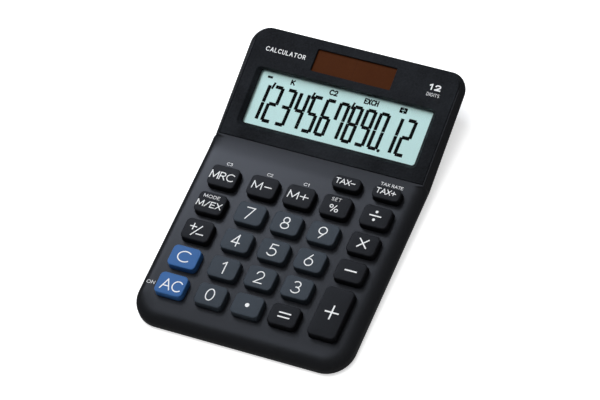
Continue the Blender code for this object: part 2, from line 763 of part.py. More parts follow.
bm = bmesh.new()
chip_low = -board_bottom - gap - chip_size[2]
chip_middle = (0, board_span[1] - chip_size[1])
chip_ends = [(1, -board_bottom - gap), (chip_taper, chip_low)]
chip = [[share * size for size in (*chip_size[:2], chip_corner)] for share, z in chip_ends]
loft(bm, [rounded(*size, z, chip_middle) for size, (share, z) in zip(chip, chip_ends)])
solid("controller_chip", bm, looks["chip"], deck)

bm = bmesh.new()
waist, groove = capacitor_radius - capacitor_groove[0], capacitor_groove[1]
can = [(waist, 0), (capacitor_radius, capacitor_round), (capacitor_radius, groove - capacitor_round)]
can += [(waist, groove), (capacitor_radius, groove + capacitor_round)]
can += [(capacitor_radius, capacitor_length - capacitor_round), (waist, capacitor_length)]
turned(bm, can)
board_end = from_deck @ Vector((0, board_span[1], -board_bottom))
capacitor_z = floor_top + gap + capacitor_radius
can_end = (half_width - capacitor_from_side, board_end.y + capacitor_from_board, capacitor_z)
lie = Matrix.Translation(can_end) @ Matrix.Rotation(-pi / 2, 4, "X")
bmesh.ops.transform(bm, matrix=lie, verts=bm.verts)
solid("power_capacitor", bm, looks["sleeve"])


def screw(name, at, head, tip, parent=None):
    """A pan-head screw: head is the height of its outer face, and it points up towards tip."""
    bm = bmesh.new()
    seat = head + screw_head_height
    profile = [(screw_head_radius - screw_head_round, head), (screw_head_radius, head + screw_head_round)]
    profile += [(screw_head_radius, seat), (screw_radius, seat)]
    profile += [(screw_radius, tip - screw_point), (screw_radius - screw_point, tip)]
    turned(bm, profile, steps=12)
    solid(name, bm, looks["steel"], parent, (*at, 0))


for n, at in enumerate((side * boss_x, v) for side in (-1, 1) for v in board_screw_at):
    head = -board_bottom - gap - screw_head_height
    screw(f"board_screw_{n + 1}", at, head, -deck_wall - 2 * gap, deck)
for n, at in enumerate(case_screws):
    screw(f"case_screw_{n + 1}", at, case_seat - gap - screw_head_height, case_screw_tip[at])
for n, at in enumerate(feet):
    bm = bmesh.new()
    turned(bm, [(foot_radius - foot_round, 0), (foot_radius, foot_round), (foot_radius, foot_top)], steps=20)
    solid(f"rubber_foot_{n + 1}", bm, looks["foot"], at=(*at, 0))


# --- Display -----------------------------------------------------------------------------------------------

# The panel carries a collar around the liquid crystal, whose four sides slope in to the view.
bm = bmesh.new()
loft(bm, [panel_outline(0, z) for z in (-panel_thickness, 0)])
panel = solid("display_panel", bm, looks["panel"], display)
bm = bmesh.new()
block(bm, *collar, -lip_depth, lap - panel_thickness, (0, view_middle), collar_corner, 3)
boolean(panel, bm, "UNION", display)
bm = bmesh.new()
beyond = 0.25  # the slope carried past both faces, as a share of the lip
rings = []
for share, z in [(-beyond, -lip_depth * (1 + beyond)), (1 + beyond, lip_depth * beyond)]:
    width = view_size[0] + 2 * lip_width * share
    depth = view_size[1] + (lip_front + lip_back) * share
    corner = lip_corners[0] + (lip_corners[1] - lip_corners[0]) * share
    rings.append(rounded(width, depth, corner, z, (0, view_middle + (lip_back - lip_front) / 2 * share)))
loft(bm, rings)
block(bm, *solar_view, -panel_thickness - past, past, (0, solar_middle), solar_corner, 2)
boolean(panel, bm, parent=display)

bm = bmesh.new()
window_size = [size + 2 * (gap + window_lap) for size in collar]
block(bm, *window_size, -window_top - window_thickness, -window_top, (0, view_middle), plate_corner)
solid("display_window", bm, looks["clear"], display)

bm = bmesh.new()
block(bm, *lcd_size, -lcd_bottom, -lcd_top, (0, view_middle), lcd_corner)
solid("lcd_glass", bm, looks["lcd"], display)

# The frame holds the glass from behind. Its front bar stops short of the glass, where the connector leaves.
bm = bmesh.new()
frame_back = view_middle + lcd_size[1] / 2 + frame_overhang
frame_size = (window_size[0], frame_back - frame_front)
frame_middle = (0, (frame_front + frame_back) / 2)
holes = [size - 2 * frame_bar for size in frame_size]
rims = [(frame_size, -frame_bottom), (frame_size, -frame_top), (holes, -frame_top), (holes, -frame_bottom)]
loft(bm, [rounded(*size, plate_corner, z, frame_middle) for size, z in rims], closed=True)
solid("lcd_frame", bm, looks["inner"], display)

# The connector is a printed film, bonded under the glass's front edge and to the rear of the board.
bm = bmesh.new()
glass_low = view_middle - lcd_size[1] / 2
on_glass = from_display @ Vector((0, glass_low + connector_laps[0], -lcd_bottom - gap))
off_glass = from_display @ Vector((0, glass_low - connector_slack[0], -lcd_bottom - gap))
on_board = from_deck @ Vector((0, board_span[1] - connector_laps[1], gap - board_top))
off_board = from_deck @ Vector((0, board_span[1] + connector_slack[1], gap - board_top))
path = [p.yz for p in (on_glass, off_glass, off_board, on_board)]
strip(bm, path, view_size[0] - 2 * connector_inset, connector_thickness)
solid("lcd_connector", bm, looks["film"])

bm = bmesh.new()
block(bm, *solar_size, -solar_top - solar_thickness, -solar_top, (0, solar_middle), solar_corner)
solid("solar_cell", bm, looks["solar"], display)


# --- Battery -----------------------------------------------------------------------------------------------

bm = bmesh.new()
cap_radius, cap_top = cell_cap[0] * cell_radius, cell_bottom + cell_cap[1]
profile = [(cap_radius, cell_bottom), (cap_radius, cap_top), (cell_radius, cap_top + cell_round)]
profile += [(cell_radius, cell_top - cell_round), (cell_radius - cell_round, cell_top)]
turned(bm, profile, (cell_x, cell_y), 24)
solid("battery_cell", bm, looks["steel"])

bm = bmesh.new()
leaf = floor_top + gap + contact_thickness / 2
rise_y = wall_radius + gap
strip(bm, [(-contact_reach, leaf), (rise_y, leaf), (rise_y, cell_top)], contact_width, contact_thickness)
solid("battery_contact_negative", bm, looks["steel"], at=(cell_x, cell_y, 0))

bm = bmesh.new()
leaf = cell_top + gap + contact_thickness / 2
rise_y = -(wall_radius + gap + contact_thickness)
path = [(contact_reach, leaf), (rise_y, leaf), (rise_y, ledge_top + contact_end)]
strip(bm, path, contact_width, contact_thickness)
solid("battery_contact_positive", bm, looks["steel"], at=(cell_x, cell_y, 0))

bm = bmesh.new()
block(bm, *door_size, foot_height, floor_top, door_middle, plate_corner, 2)
door = solid("battery_door", bm, looks["case"])
bm = bmesh.new()
profile = [(screw_head_radius + gap, foot_height - past), (screw_head_radius + gap, door_seat)]
turned(bm, profile + [(hole_radius, door_seat), (hole_radius, floor_top + past)], door_screw)
boolean(door, bm)
screw("battery_door_screw", door_screw, door_seat - gap - screw_head_height, ledge_top + door_screw_reach)


# --- Leads -------------------------------------------------------------------------------------------------

board_edge = from_deck @ Vector((0, board_span[1] - lead_board_lap, -board_bottom - gap - lead_radius))
run_z = floor_top + gap + lead_radius
solar_back = solar_top + solar_thickness + gap + lead_radius
for name, look in (("positive", "red"), ("negative", "black")):
    x = lead_x[name]
    start = from_display @ Vector((x, solar_middle, -solar_back))
    drop_y = back_edge - hull_back_inset(floor_top) - hull_round - lead_clearance - lead_radius
    points = [start, (x, drop_y, start.z - lead_bend), (x, drop_y, run_z + lead_bend)]
    points += [(x, drop_y - lead_bend, run_z), (x, board_edge.y + lead_bend, run_z)]
    lead(f"solar_lead_{name}", points + [(x, board_edge.y, board_edge.z)], looks[look])
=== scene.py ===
"""The looks of a small desk calculator: moulded case, printed keys, liquid-crystal display and solar cell."""

from math import cos, pi, radians, sin, tan

import bmesh
import bpy
from mathutils import Matrix, Vector
from mathutils.bvhtree import BVHTree


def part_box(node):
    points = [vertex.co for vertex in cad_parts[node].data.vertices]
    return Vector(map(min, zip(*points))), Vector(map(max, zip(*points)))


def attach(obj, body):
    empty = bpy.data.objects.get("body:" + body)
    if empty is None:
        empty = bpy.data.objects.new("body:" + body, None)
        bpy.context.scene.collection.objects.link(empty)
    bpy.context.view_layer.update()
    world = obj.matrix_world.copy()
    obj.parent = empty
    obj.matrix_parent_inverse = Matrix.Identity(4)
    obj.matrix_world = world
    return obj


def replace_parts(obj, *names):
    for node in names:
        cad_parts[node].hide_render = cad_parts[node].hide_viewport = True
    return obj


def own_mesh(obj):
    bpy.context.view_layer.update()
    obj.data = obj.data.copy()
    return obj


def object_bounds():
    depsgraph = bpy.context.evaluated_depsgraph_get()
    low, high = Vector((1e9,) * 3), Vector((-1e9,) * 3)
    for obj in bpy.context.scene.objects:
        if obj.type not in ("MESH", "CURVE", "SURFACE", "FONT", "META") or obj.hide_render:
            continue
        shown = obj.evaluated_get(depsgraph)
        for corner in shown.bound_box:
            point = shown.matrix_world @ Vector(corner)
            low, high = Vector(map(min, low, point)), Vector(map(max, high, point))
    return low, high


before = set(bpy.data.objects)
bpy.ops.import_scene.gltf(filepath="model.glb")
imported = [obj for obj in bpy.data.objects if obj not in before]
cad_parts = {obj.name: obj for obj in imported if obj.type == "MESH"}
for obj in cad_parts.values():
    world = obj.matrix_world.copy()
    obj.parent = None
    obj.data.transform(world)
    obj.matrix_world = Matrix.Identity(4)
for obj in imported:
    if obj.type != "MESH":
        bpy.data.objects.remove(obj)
cad_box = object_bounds()
mm = 0.001


# --- Upper case --------------------------------------------------------------------------------------------
# One injection moulding in charcoal ABS. The key deck rolls over into a shallow skirt on three sides and
# curves up to the tilted display, whose rim stands upright. The mould was finely spark-eroded, so the
# surface is an even satin with soft highlights.

half_width = cad_box[1][0]
front_edge, back_edge = cad_box[0][1], cad_box[1][1]
seam_y = 20.819 * mm
deck_front_height = 7.525 * mm
seam_height = 11.250 * mm
deck_tilt = radians(1.75)
display_tilt = radians(12.3)
blend_length = 9.0 * mm
parting_front_height = 1.7 * mm
parting_back_drop = 2.6 * mm  # from the display's plane to the parting line, at the back
front_skirt, side_skirt = 1.0 * mm, 0.1 * mm  # upright strips above the parting line
side_roll, front_roll = 8 * mm, 12 * mm  # how far the rolled edges reach in
side_roll_drop = 3.7 * mm
front_corner, back_corner = 12.5 * mm, 8.5 * mm
rim_flare, rim_fillet = 1.45 * mm, 0.8 * mm  # the walls beside the display
case_wall = 1.6 * mm
deck_wall = 1.5 * mm
display_floor = 2.3 * mm
gap = 0.3 * mm

level_depth = seam_y - front_edge - blend_length
side_parting = deck_front_height + tan(deck_tilt) * level_depth - side_roll_drop - side_skirt
parting_slope = (side_parting - parting_front_height) / level_depth
back_height = seam_height + tan(display_tilt) * (back_edge - seam_y)
parting_seam_height = parting_front_height + parting_slope * (seam_y - front_edge)
parting_rise = (back_height - parting_back_drop - parting_seam_height) / (back_edge - seam_y)


def top(y):
    """Height of the deck or the display at y."""
    into = min(max(y - seam_y + blend_length, 0), blend_length)
    rise = (tan(display_tilt) - tan(deck_tilt)) * (into**2 / (2 * blend_length) + max(y - seam_y, 0))
    return deck_front_height + tan(deck_tilt) * (y - front_edge) + rise


def parting(y):
    """Height of the line where the two halves of the case meet."""
    deck_part = parting_slope * (min(y, seam_y) - front_edge)
    return parting_front_height + deck_part + parting_rise * max(y - seam_y, 0)


def rim_share(y):
    """0 where the case's side rolls over, 1 beside the display, where it stands upright."""
    t = min(max((y - seam_y) / (1.3 * mm) + 1.05, 0), 1)
    return t * t * (3 - 2 * t)


# Where an outline has its side points, in mm before the seam: closest where the deck's roll ends
side_steps = (60, 45, 30, 18, 11, 9, 7.5, 6, 4.5, 3.2, 2.2, 1.5, 1.35, 1.15, 0.95, 0.75, 0.55, 0.35, 0.15)
side_steps += (0, -1.5, -6, -20)


def outline(side_inset, front_inset, back_inset, front_radius, back_radius, height, steps=14):
    """A plan outline of the case at height(y, end), where end is 0 on a side and 1 at the front edge."""
    front, back = front_edge + front_inset, back_edge - back_inset
    right = []
    for n in range(steps + 1):
        turn = pi / 2 * n / steps
        y = front + front_radius * (1 - sin(turn))
        x = half_width - side_inset(front + front_radius) - front_radius * (1 - cos(turn))
        right.insert(0, (x, y, sin(turn) ** 2))
    for before in side_steps:
        y = seam_y - before * mm
        right.append((half_width - side_inset(y), y, 0))
    for n in range(steps + 1):
        turn = pi / 2 * n / steps
        y = back - back_radius * (1 - sin(turn))
        right.append((half_width - side_inset(y) - back_radius * (1 - cos(turn)), y, 0))
    ring = [Vector((x, y, height(y, end))) for x, y, end in right]
    return ring + [Vector((-p.x, p.y, p.z)) for p in reversed(ring)]


def skin(bm, rings, ends=(True, True), closed=False):
    """Joins rings of equal length by quads, and fills the first and the last where ends says so."""
    rows = [[bm.verts.new(point) for point in ring] for ring in rings]
    for lower, upper in zip(rows, rows[1:] + rows[:1] if closed else rows[1:]):
        for n in range(len(lower)):
            m = (n + 1) % len(lower)
            bm.faces.new((lower[n], lower[m], upper[m], upper[n]))
    for fill, row in zip(ends, (rows[0], rows[-1])):
        if fill and not closed:
            bm.faces.new(row)
    return rows


def block(rings):
    """A closed shape in a mesh of its own, from its rings."""
    bm = bmesh.new()
    skin(bm, rings)
    return bm


def tray(outer, inner):
    """A shell from the rings of its outside and of its inside, which both start at the open edge."""
    bm = bmesh.new()
    rows = skin(bm, list(reversed(outer)) + inner, (False, False))
    for row in (rows[0], rows[-1]):
        for n in range(len(row) // 2 - 1):
            bm.faces.new((row[n], row[n + 1], row[-2 - n], row[-1 - n]))
    return bm


def rounded(width, depth, radius, z, middle=(0, 0), steps=8):
    """The points of a rectangle with round corners."""
    radius = min(radius, width / 2.01, depth / 2.01)
    points = []
    for corner, (sx, sy) in enumerate([(1, -1), (1, 1), (-1, 1), (-1, -1)]):
        for n in range(steps + 1):
            turn = pi / 2 * (corner - 1 + n / steps)
            x = middle[0] + sx * (width / 2 - radius) + radius * cos(turn)
            y = middle[1] + sy * (depth / 2 - radius) + radius * sin(turn)
            points.append(Vector((x, y, z)))
    return points


def turned(bm, profile, middle=(0, 0), steps=32):
    """A turned shape: profile lists (radius, height) from one end to the other."""
    turns = [2 * pi * n / steps for n in range(steps)]
    place = [(cos(t), sin(t)) for t in turns]
    skin(bm, [[Vector((middle[0] + r * c, middle[1] + r * s, z)) for c, s in place] for r, z in profile])


def piece(name, bm, look, smooth=30, at=None):
    """Makes an object of bm at the origin, with its place in its mesh."""
    if at is not None:
        bmesh.ops.transform(bm, matrix=at, verts=bm.verts)
    bmesh.ops.recalc_face_normals(bm, faces=bm.faces)
    if bm.calc_volume(signed=True) < 0:
        bmesh.ops.reverse_faces(bm, faces=bm.faces)
    mesh = bpy.data.meshes.new(name)
    bm.to_mesh(mesh)
    bm.free()
    mesh.shade_smooth()
    mesh.set_sharp_from_angle(angle=radians(smooth))
    if look:
        mesh.materials.append(look)
    made = bpy.data.objects.new(name, mesh)
    bpy.context.scene.collection.objects.link(made)
    return made


def settle(made):
    """Turns an object and its modifiers into a plain mesh."""
    graph = bpy.context.evaluated_depsgraph_get()
    mesh = bpy.data.meshes.new_from_object(made.evaluated_get(graph))
    made.modifiers.clear()
    made.data = mesh
    return made


def carve(made, bm, operation="DIFFERENCE", smooth=30, at=None):
    """Cuts bm from a piece, or joins it on."""
    tool = piece("tool", bm, None, at=at)
    step = made.modifiers.new(operation, "BOOLEAN")
    step.operation, step.object, step.solver = operation, tool, "EXACT"
    settle(made)
    bpy.data.objects.remove(tool)
    made.data.shade_smooth()
    made.data.set_sharp_from_angle(angle=radians(smooth))


def level(made, angle=30):
    """Lets the large flat faces of a piece keep their own direction where small rounded ones meet them."""
    made.data.set_sharp_from_angle(angle=radians(angle))
    step = made.modifiers.new("level", "WEIGHTED_NORMAL")
    step.keep_sharp = True
    step.weight = 80
    settle(made)


def soften(made, width, segments=2, angle=35):
    """Rounds the sharp edges of a piece a little, as every moulded edge is."""
    step = made.modifiers.new("edges", "BEVEL")
    step.width, step.segments, step.limit_method, step.angle_limit = width, segments, "ANGLE", radians(angle)
    step.use_clamp_overlap = True
    step.harden_normals = True
    settle(made)


def colour(code):
    """An sRGB hex colour as linear RGBA."""
    parts = [int(code[n : n + 2], 16) / 255 for n in (1, 3, 5)]
    return (*((c / 12.92 if c <= 0.04045 else ((c + 0.055) / 1.055) ** 2.4) for c in parts), 1)


def add(tree, kind, values={}, **settings):
    """Adds a node to a tree. values gives its inputs by name or number, as constants or other outputs."""
    made = tree.nodes.new(kind)
    for name, value in settings.items():
        setattr(made, name, value)
    for name, value in values.items():
        if isinstance(value, bpy.types.NodeSocket):
            tree.links.new(value, made.inputs[name])
        else:
            made.inputs[name].default_value = value
    return made


def put(tree, kind, values={}, **settings):
    """Adds a node to a tree and gives its first output."""
    return add(tree, kind, values, **settings).outputs[0]


def maths(tree, operation, a, b):
    """Adds arithmetic on two values to a tree."""
    return put(tree, "ShaderNodeMath", {0: a, 1: b}, operation=operation)


def xyz(tree, x, y, z):
    """Adds a vector to a tree."""
    return put(tree, "ShaderNodeCombineXYZ", {0: x, 1: y, 2: z})


broad_drift = 17 * mm  # the size of the slow changes of colour in a moulding


def moulded(
    name, code, roughness, grain, relief, mottle=0.08, ior=1.5, gloss=0.5, metallic=0.0, stretch=(1, 1, 1)
):
    """A finish with one colour that drifts a little, and a fine texture: grain apart and relief deep."""
    made = bpy.data.materials.new(name)
    made.use_nodes = True
    tree = made.node_tree
    shader = tree.nodes["Principled BSDF"]
    shader.inputs["IOR"].default_value = ior
    shader.inputs["Specular IOR Level"].default_value = gloss
    shader.inputs["Metallic"].default_value = metallic
    place = add(tree, "ShaderNodeTexCoord").outputs["Object"]
    place = add(tree, "ShaderNodeMapping", {"Vector": place, "Scale": stretch}).outputs["Vector"]
    fine = {"Vector": place, "Scale": 1 / grain, "Detail": 3.0, "Roughness": 0.6}
    fine = put(tree, "ShaderNodeTexNoise", fine)
    broad = put(tree, "ShaderNodeTexNoise", {"Vector": place, "Scale": 1 / broad_drift, "Detail": 2.0})
    both = maths(tree, "ADD", fine, broad)
    low, high = (tuple(c * k for c in colour(code)[:3]) + (1,) for k in (1 - mottle, 1 + mottle))
    tint = put(tree, "ShaderNodeMapRange", {"Value": both, "From Min": 0.6, "From Max": 1.4})
    tint = add(tree, "ShaderNodeMix", {0: tint, 6: low, 7: high}, data_type="RGBA")
    tree.links.new(tint.outputs[2], shader.inputs["Base Color"])
    spread = {"Value": fine, "From Min": 0.3, "From Max": 0.7}
    spread.update({"To Min": roughness * 0.92, "To Max": roughness * 1.08})
    tree.links.new(put(tree, "ShaderNodeMapRange", spread), shader.inputs["Roughness"])
    bump = put(tree, "ShaderNodeBump", {"Height": fine, "Strength": 1.0, "Distance": relief})
    tree.links.new(bump, shader.inputs["Normal"])
    return made


# Injection-moulded ABS, fine spark-eroded: charcoal, an even satin whose highlights spread softly.
satin_charcoal_abs = moulded("satin_charcoal_abs", "#0F1013", 0.31, 0.35 * mm, 0.004 * mm, ior=1.54)


front_roll_drop = deck_front_height - parting_front_height - front_skirt
fullness = 2 / 3  # the rolled edge is a superellipse, fuller than a round one
lean_part = 0.4  # of the rings lie on the rim's leaning wall, and the rest on its fillet
wall_part = 0.8  # of the rim's height leans
corner_tightening = 0.75  # the share of the front corner's radius that is lost up the roll


def side_rings(count=20):
    """The rings of the case's outside, from the skirt up over the roll or up the display's rim."""
    rings = []
    for k in range(count + 1):
        turn, share_up = pi / 2 * k / count, k / count
        away, down = 1 - max(cos(turn), 0) ** fullness, 1 - sin(turn) ** fullness
        if share_up <= lean_part:
            lean, wall_left, corner = share_up / lean_part, 1 - share_up / lean_part, 0
        else:
            lean, wall_left, corner = 1, 0, pi / 2 * (share_up - lean_part) / (1 - lean_part)
        rim_inset = rim_flare * lean + rim_fillet * (1 - cos(corner))

        def inset(y):
            return side_roll * away * (1 - rim_share(y)) + rim_inset * rim_share(y)

        def height(y, end):
            fillet = rim_fillet * (1 - sin(corner)) * (1 if corner else 1 - wall_left)
            wall = wall_part * (top(y) - parting(y)) * wall_left + fillet
            roll = (side_roll_drop + (front_roll_drop - side_roll_drop) * end) * down
            return top(y) - roll * (1 - rim_share(y)) - wall * rim_share(y)

        radius = front_corner * (1 - corner_tightening * away)
        rim_corner = back_corner - 0.3 * rim_inset
        rings.append(outline(inset, front_roll * away, rim_inset, radius, rim_corner, height))
    return rings


def inside_ring(extra, height, front_extra=0.0):
    """A ring of the upper case's inside, extra further in under the deck than the wall."""
    rim_extra = 1.55 * mm

    def inset(y):
        return case_wall + extra * (1 - rim_share(y)) + rim_extra * rim_share(y)

    radius = front_corner - case_wall - 0.7 * front_extra
    corner = back_corner - case_wall
    return outline(inset, case_wall + front_extra, case_wall + rim_extra, radius, corner, height)


def under(y, end, fall=0.0):
    """The height of the deck's underside."""
    wall = deck_wall if y < seam_y - 1.7 * mm else display_floor
    return top(y) - wall - fall * (1 - rim_share(y)) - 0.1 * mm


outer = side_rings()
outer.insert(0, [Vector((p.x, p.y, parting(p.y))) for p in outer[0]])
inner = [inside_ring(0, lambda y, end: parting(y))]
inner.append(inside_ring(0, lambda y, end: under(y, end, 2.4 * mm)))
inner.append(inside_ring(4.4 * mm, under, 5.6 * mm))
case_top = piece("case_top", tray(outer, inner), satin_charcoal_abs, 40)

on_deck = Matrix.Translation((0, front_edge, deck_front_height)) @ Matrix.Rotation(deck_tilt, 4, "X")
on_display = Matrix.Translation((0, seam_y, seam_height)) @ Matrix.Rotation(display_tilt, 4, "X")

columns = [-36.6 * mm, -17.5 * mm, 0.0, 17.5 * mm, 36.6 * mm]
rows = [(17.3 + 14.0 * n) * mm for n in range(5)] + [85.4 * mm]
usual, small, tall = (13.4 * mm, 10.4 * mm), (13.2 * mm, 6.4 * mm), (13.4 * mm, 24.4 * mm)
# name, column, distance along the deck, size at the deck and finish of each key
keys = [("tax_minus", 3, rows[5], small, "black"), ("tax_plus", 4, rows[5], small, "black")]
keys.append(("plus", 4, (rows[0] + rows[1]) / 2, tall, "black"))
for row, names in enumerate(
    (
        "all_clear 0 point equals",
        "clear 1 2 3",
        "sign 4 5 6 minus",
        "exchange 7 8 9 multiply",
        "memory_recall memory_minus memory_plus percent divide",
    )
):
    for column, name in enumerate(names.split()):
        finish = "blue" if "clear" in name else "slate" if name == "point" or name.isdigit() else "black"
        keys.append((name, column, rows[row], usual, finish))

# The key openings go straight through the deck.
key_clearance = 0.25 * mm


def key_corner(size):
    return min(2.2 * mm, size[1] / 2.5)


bm = bmesh.new()
for name, column, along, size, finish in keys:
    hole = [s + 2 * key_clearance for s in size]
    at = (columns[column], along)
    skin(bm, [rounded(*hole, key_corner(size) + gap, z, at, 6) for z in (-2.5 * mm, 1 * mm)])
carve(case_top, bm, at=on_deck, smooth=40)


def panel_outline(grow, z, radius=6.5 * mm, steps=12):
    """The display panel's outline: square at the seam and round at the back."""
    width, low, high = 49.0 * mm + grow, 0.45 * mm - grow, 52.8 * mm + grow
    points = [Vector((-width, low, z)), Vector((width, low, z))]
    for side in (1, -1):
        for n in range(steps + 1):
            turn = pi / 2 * (n / steps if side > 0 else 1 - n / steps)
            reach = radius + grow
            x, y = width - reach + reach * cos(turn), high - reach + reach * sin(turn)
            points.append(Vector((side * x, y, z)))
    return points


view, view_middle = (82.9 * mm, 25.6 * mm), 21.0 * mm
solar, solar_middle = (38.2 * mm, 10.4 * mm), 43.2 * mm
carve(case_top, block([panel_outline(gap, z) for z in (-1.1 * mm, 2 * mm)]), at=on_display, smooth=40)
bm = bmesh.new()
for width, depth, middle, radius in ((88.5, 31.2, view_middle, 3.3), (39.8, 12, solar_middle, 1)):
    opening = (width * mm, depth * mm, radius * mm)
    skin(bm, [rounded(*opening, z, (0, middle)) for z in (-4 * mm, 1 * mm)])
carve(case_top, bm, at=on_display, smooth=40)
level(case_top, 40)
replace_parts(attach(case_top, "case"), "upper_case")


# --- Lower case --------------------------------------------------------------------------------------------
# The other moulding of the case, in the same charcoal ABS: a tapered tray that closes against the upper case
# along the parting line, with recesses for the feet and the screws and a rebate for the battery door.

foot_height, floor_top = 0.8 * mm, 2.0 * mm
hull_inset, hull_front_step = 0.8 * mm, 0.6 * mm
hull_wall, hull_round = 1.4 * mm, 0.5 * mm
side_taper, back_taper = radians(28), radians(18)


def middle_of(node):
    """The middle of a modelled node's box in plan."""
    low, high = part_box(node)
    return (low[0] + high[0]) / 2, (low[1] + high[1]) / 2


def hull_ring(z, wall, rounding=0.0):
    """A ring of the lower case at height z, or along the parting line when z is None."""
    edge = hull_inset + wall + rounding
    corners = (front_corner - wall, back_corner - wall)
    if z is None:
        return outline(lambda y: edge, edge, edge, *corners, lambda y, end: parting(y) - gap)

    def inset(y):
        return edge + max(parting(y) - gap - z, 0) * tan(side_taper)

    back = edge + (back_height - parting_back_drop - gap - z) * tan(back_taper)
    return outline(inset, edge + hull_front_step, back, *corners, lambda y, end: z)


outer = [hull_ring(None, 0)]
for n in range(6):
    turn = pi / 2 * n / 5
    outer.append(hull_ring(foot_height + 0.6 * mm * (1 - sin(turn)), 0, hull_round * (1 - cos(turn))))
inner = [hull_ring(None, hull_wall), hull_ring(floor_top, hull_wall, hull_round)]
case_bottom = piece("case_bottom", tray(outer, inner), satin_charcoal_abs, 35)

screw_column = 27.05 * mm
case_screws = [(side * screw_column, front_edge + 24.3 * mm) for side in (-1, 1)]
case_screws += [(side * (half_width - 14.85 * mm), back_edge - 12.6 * mm) for side in (-1, 1)]
feet_at = [middle_of(f"rubber_foot_{n + 1}") for n in range(4)]
door_low, door_high = (Vector(corner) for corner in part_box("battery_door"))
door_middle = (door_low + door_high) / 2
door_size = door_high - door_low
door_screw = middle_of("battery_door_screw")

bm = bmesh.new()
for at in case_screws:
    turned(bm, [(2.9 * mm, 1.9 * mm), (2.9 * mm, 2.5 * mm)], at)
carve(case_bottom, bm, "UNION", 35)
bm = bmesh.new()
for at in case_screws:
    rim = [(2.5 * mm, 0.5 * mm), (2.2 * mm, 1.05 * mm), (2.2 * mm, 2.0 * mm)]
    turned(bm, rim + [(1.2 * mm, 2.0 * mm), (1.2 * mm, 3 * mm)], at)
for at in feet_at:
    turned(bm, [(4.8 * mm, 0.3 * mm), (4.3 * mm, 1.0 * mm), (4.3 * mm, 1.35 * mm)], at)
size = (door_size.x + 2 * gap, door_size.y + 2 * gap)
skin(bm, [rounded(*size, 1.3 * mm, z, door_middle) for z in (0.3 * mm, 3 * mm)])
carve(case_bottom, bm, smooth=35)
level(case_bottom)
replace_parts(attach(case_bottom, "case"), "lower_case")


# --- Display panel -----------------------------------------------------------------------------------------
# A separate moulding in black ABS that drops into a pocket of the upper case. Its face is more coarsely
# spark-eroded than the case, so it stays dark. Sloping walls lead down from it to the display's window.

# Injection-moulded ABS, coarse spark-eroded: near black, dull, with a grain that shows.
grain = {"grain": 0.9 * mm, "relief": 0.16 * mm, "mottle": 0.75}
grained_black_abs = moulded("grained_black_abs", "#181A1D", 0.5, **grain, ior=1.54, gloss=0.1)

bm = bmesh.new()
face_edge = [(0, -0.8), (0, -0.22), (-0.07, -0.06), (-0.22, 0)]  # grow and height in mm
skin(bm, [panel_outline(grow * mm, z * mm) for grow, z in face_edge])
display_face = piece("display_face", bm, grained_black_abs, at=on_display)
bm = block([rounded(87.9 * mm, 30.6 * mm, 3 * mm, z, (0, view_middle)) for z in (-2 * mm, -0.5 * mm)])
carve(display_face, bm, "UNION", at=on_display)
# The wall around the window: height in mm, and how far out it is, as a share of its whole reach
lip = [(-2.5, -0.25), (-2.0, 0.0), (-0.35, 0.83), (-0.14, 0.935), (-0.03, 1.03), (0.0, 1.12), (0.5, 1.3)]
lip_across, lip_along, lip_forward = 4.0 * mm, 2.7 * mm, 0.85 * mm
bm = bmesh.new()
rings = []
for z, share in lip:
    size = (view[0] + lip_across * share, view[1] + lip_along * share)
    corner = 1.2 * mm * (1 + max(share, 0))
    rings.append(rounded(*size, corner, z * mm, (0, view_middle - lip_forward * share), 10))
skin(bm, rings)
carve(display_face, bm, at=on_display, smooth=38)
bm = bmesh.new()
rings = []
for z, grow in [(-3, 0.0), (-0.3, 0.0), (-0.1, 0.06), (0.0, 0.2), (0.3, 0.6)]:
    size = [s + 2 * grow * mm for s in solar]
    rings.append(rounded(*size, 0.5 * mm, z * mm, (0, solar_middle)))
skin(bm, rings)
carve(display_face, bm, at=on_display, smooth=38)
level(display_face, 38)
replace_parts(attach(display_face, "case"), "display_panel")


# --- Display window, liquid crystal and solar cell ---------------------------------------------------------
# A clear acrylic window lies under the panel. Below it is the liquid crystal, two glass sheets over a pale
# reflector, held by a natural ABS frame and joined to the board by a printed film connector. The solar cell
# is amorphous silicon on glass, dark brown, with thin lines between its four cells.


def refinish(look, *nodes):
    """Gives modelled nodes that keep their shape a finish."""
    for node in nodes:
        for holder in bpy.data.objects[node].material_slots:
            holder.material = look
    return look


# Cast acrylic, polished: it is nearly invisible, with a faint gloss.
clear_acrylic = moulded("clear_cast_acrylic", "#303432", 0.12, 6 * mm, 0.0, mottle=0.01, ior=1.49, gloss=0.2)
clear_acrylic.node_tree.nodes["Principled BSDF"].inputs["Alpha"].default_value = 0.04
refinish(clear_acrylic, "display_window")
# A liquid crystal over a diffusing silvered film: pale blue-green, matt and even.
pale_crystal = moulded("liquid_crystal_reflector", "#CBEDEA", 0.6, 0.12 * mm, 0.0, mottle=0.03, gloss=0.1)
refinish(pale_crystal, "lcd_glass")
refinish(moulded("natural_abs", "#C9C6BC", 0.5, 0.5 * mm, 0.003 * mm), "lcd_frame")
refinish(moulded("printed_film", "#A8873F", 0.3, 1.5 * mm, 0.002 * mm), "lcd_connector")

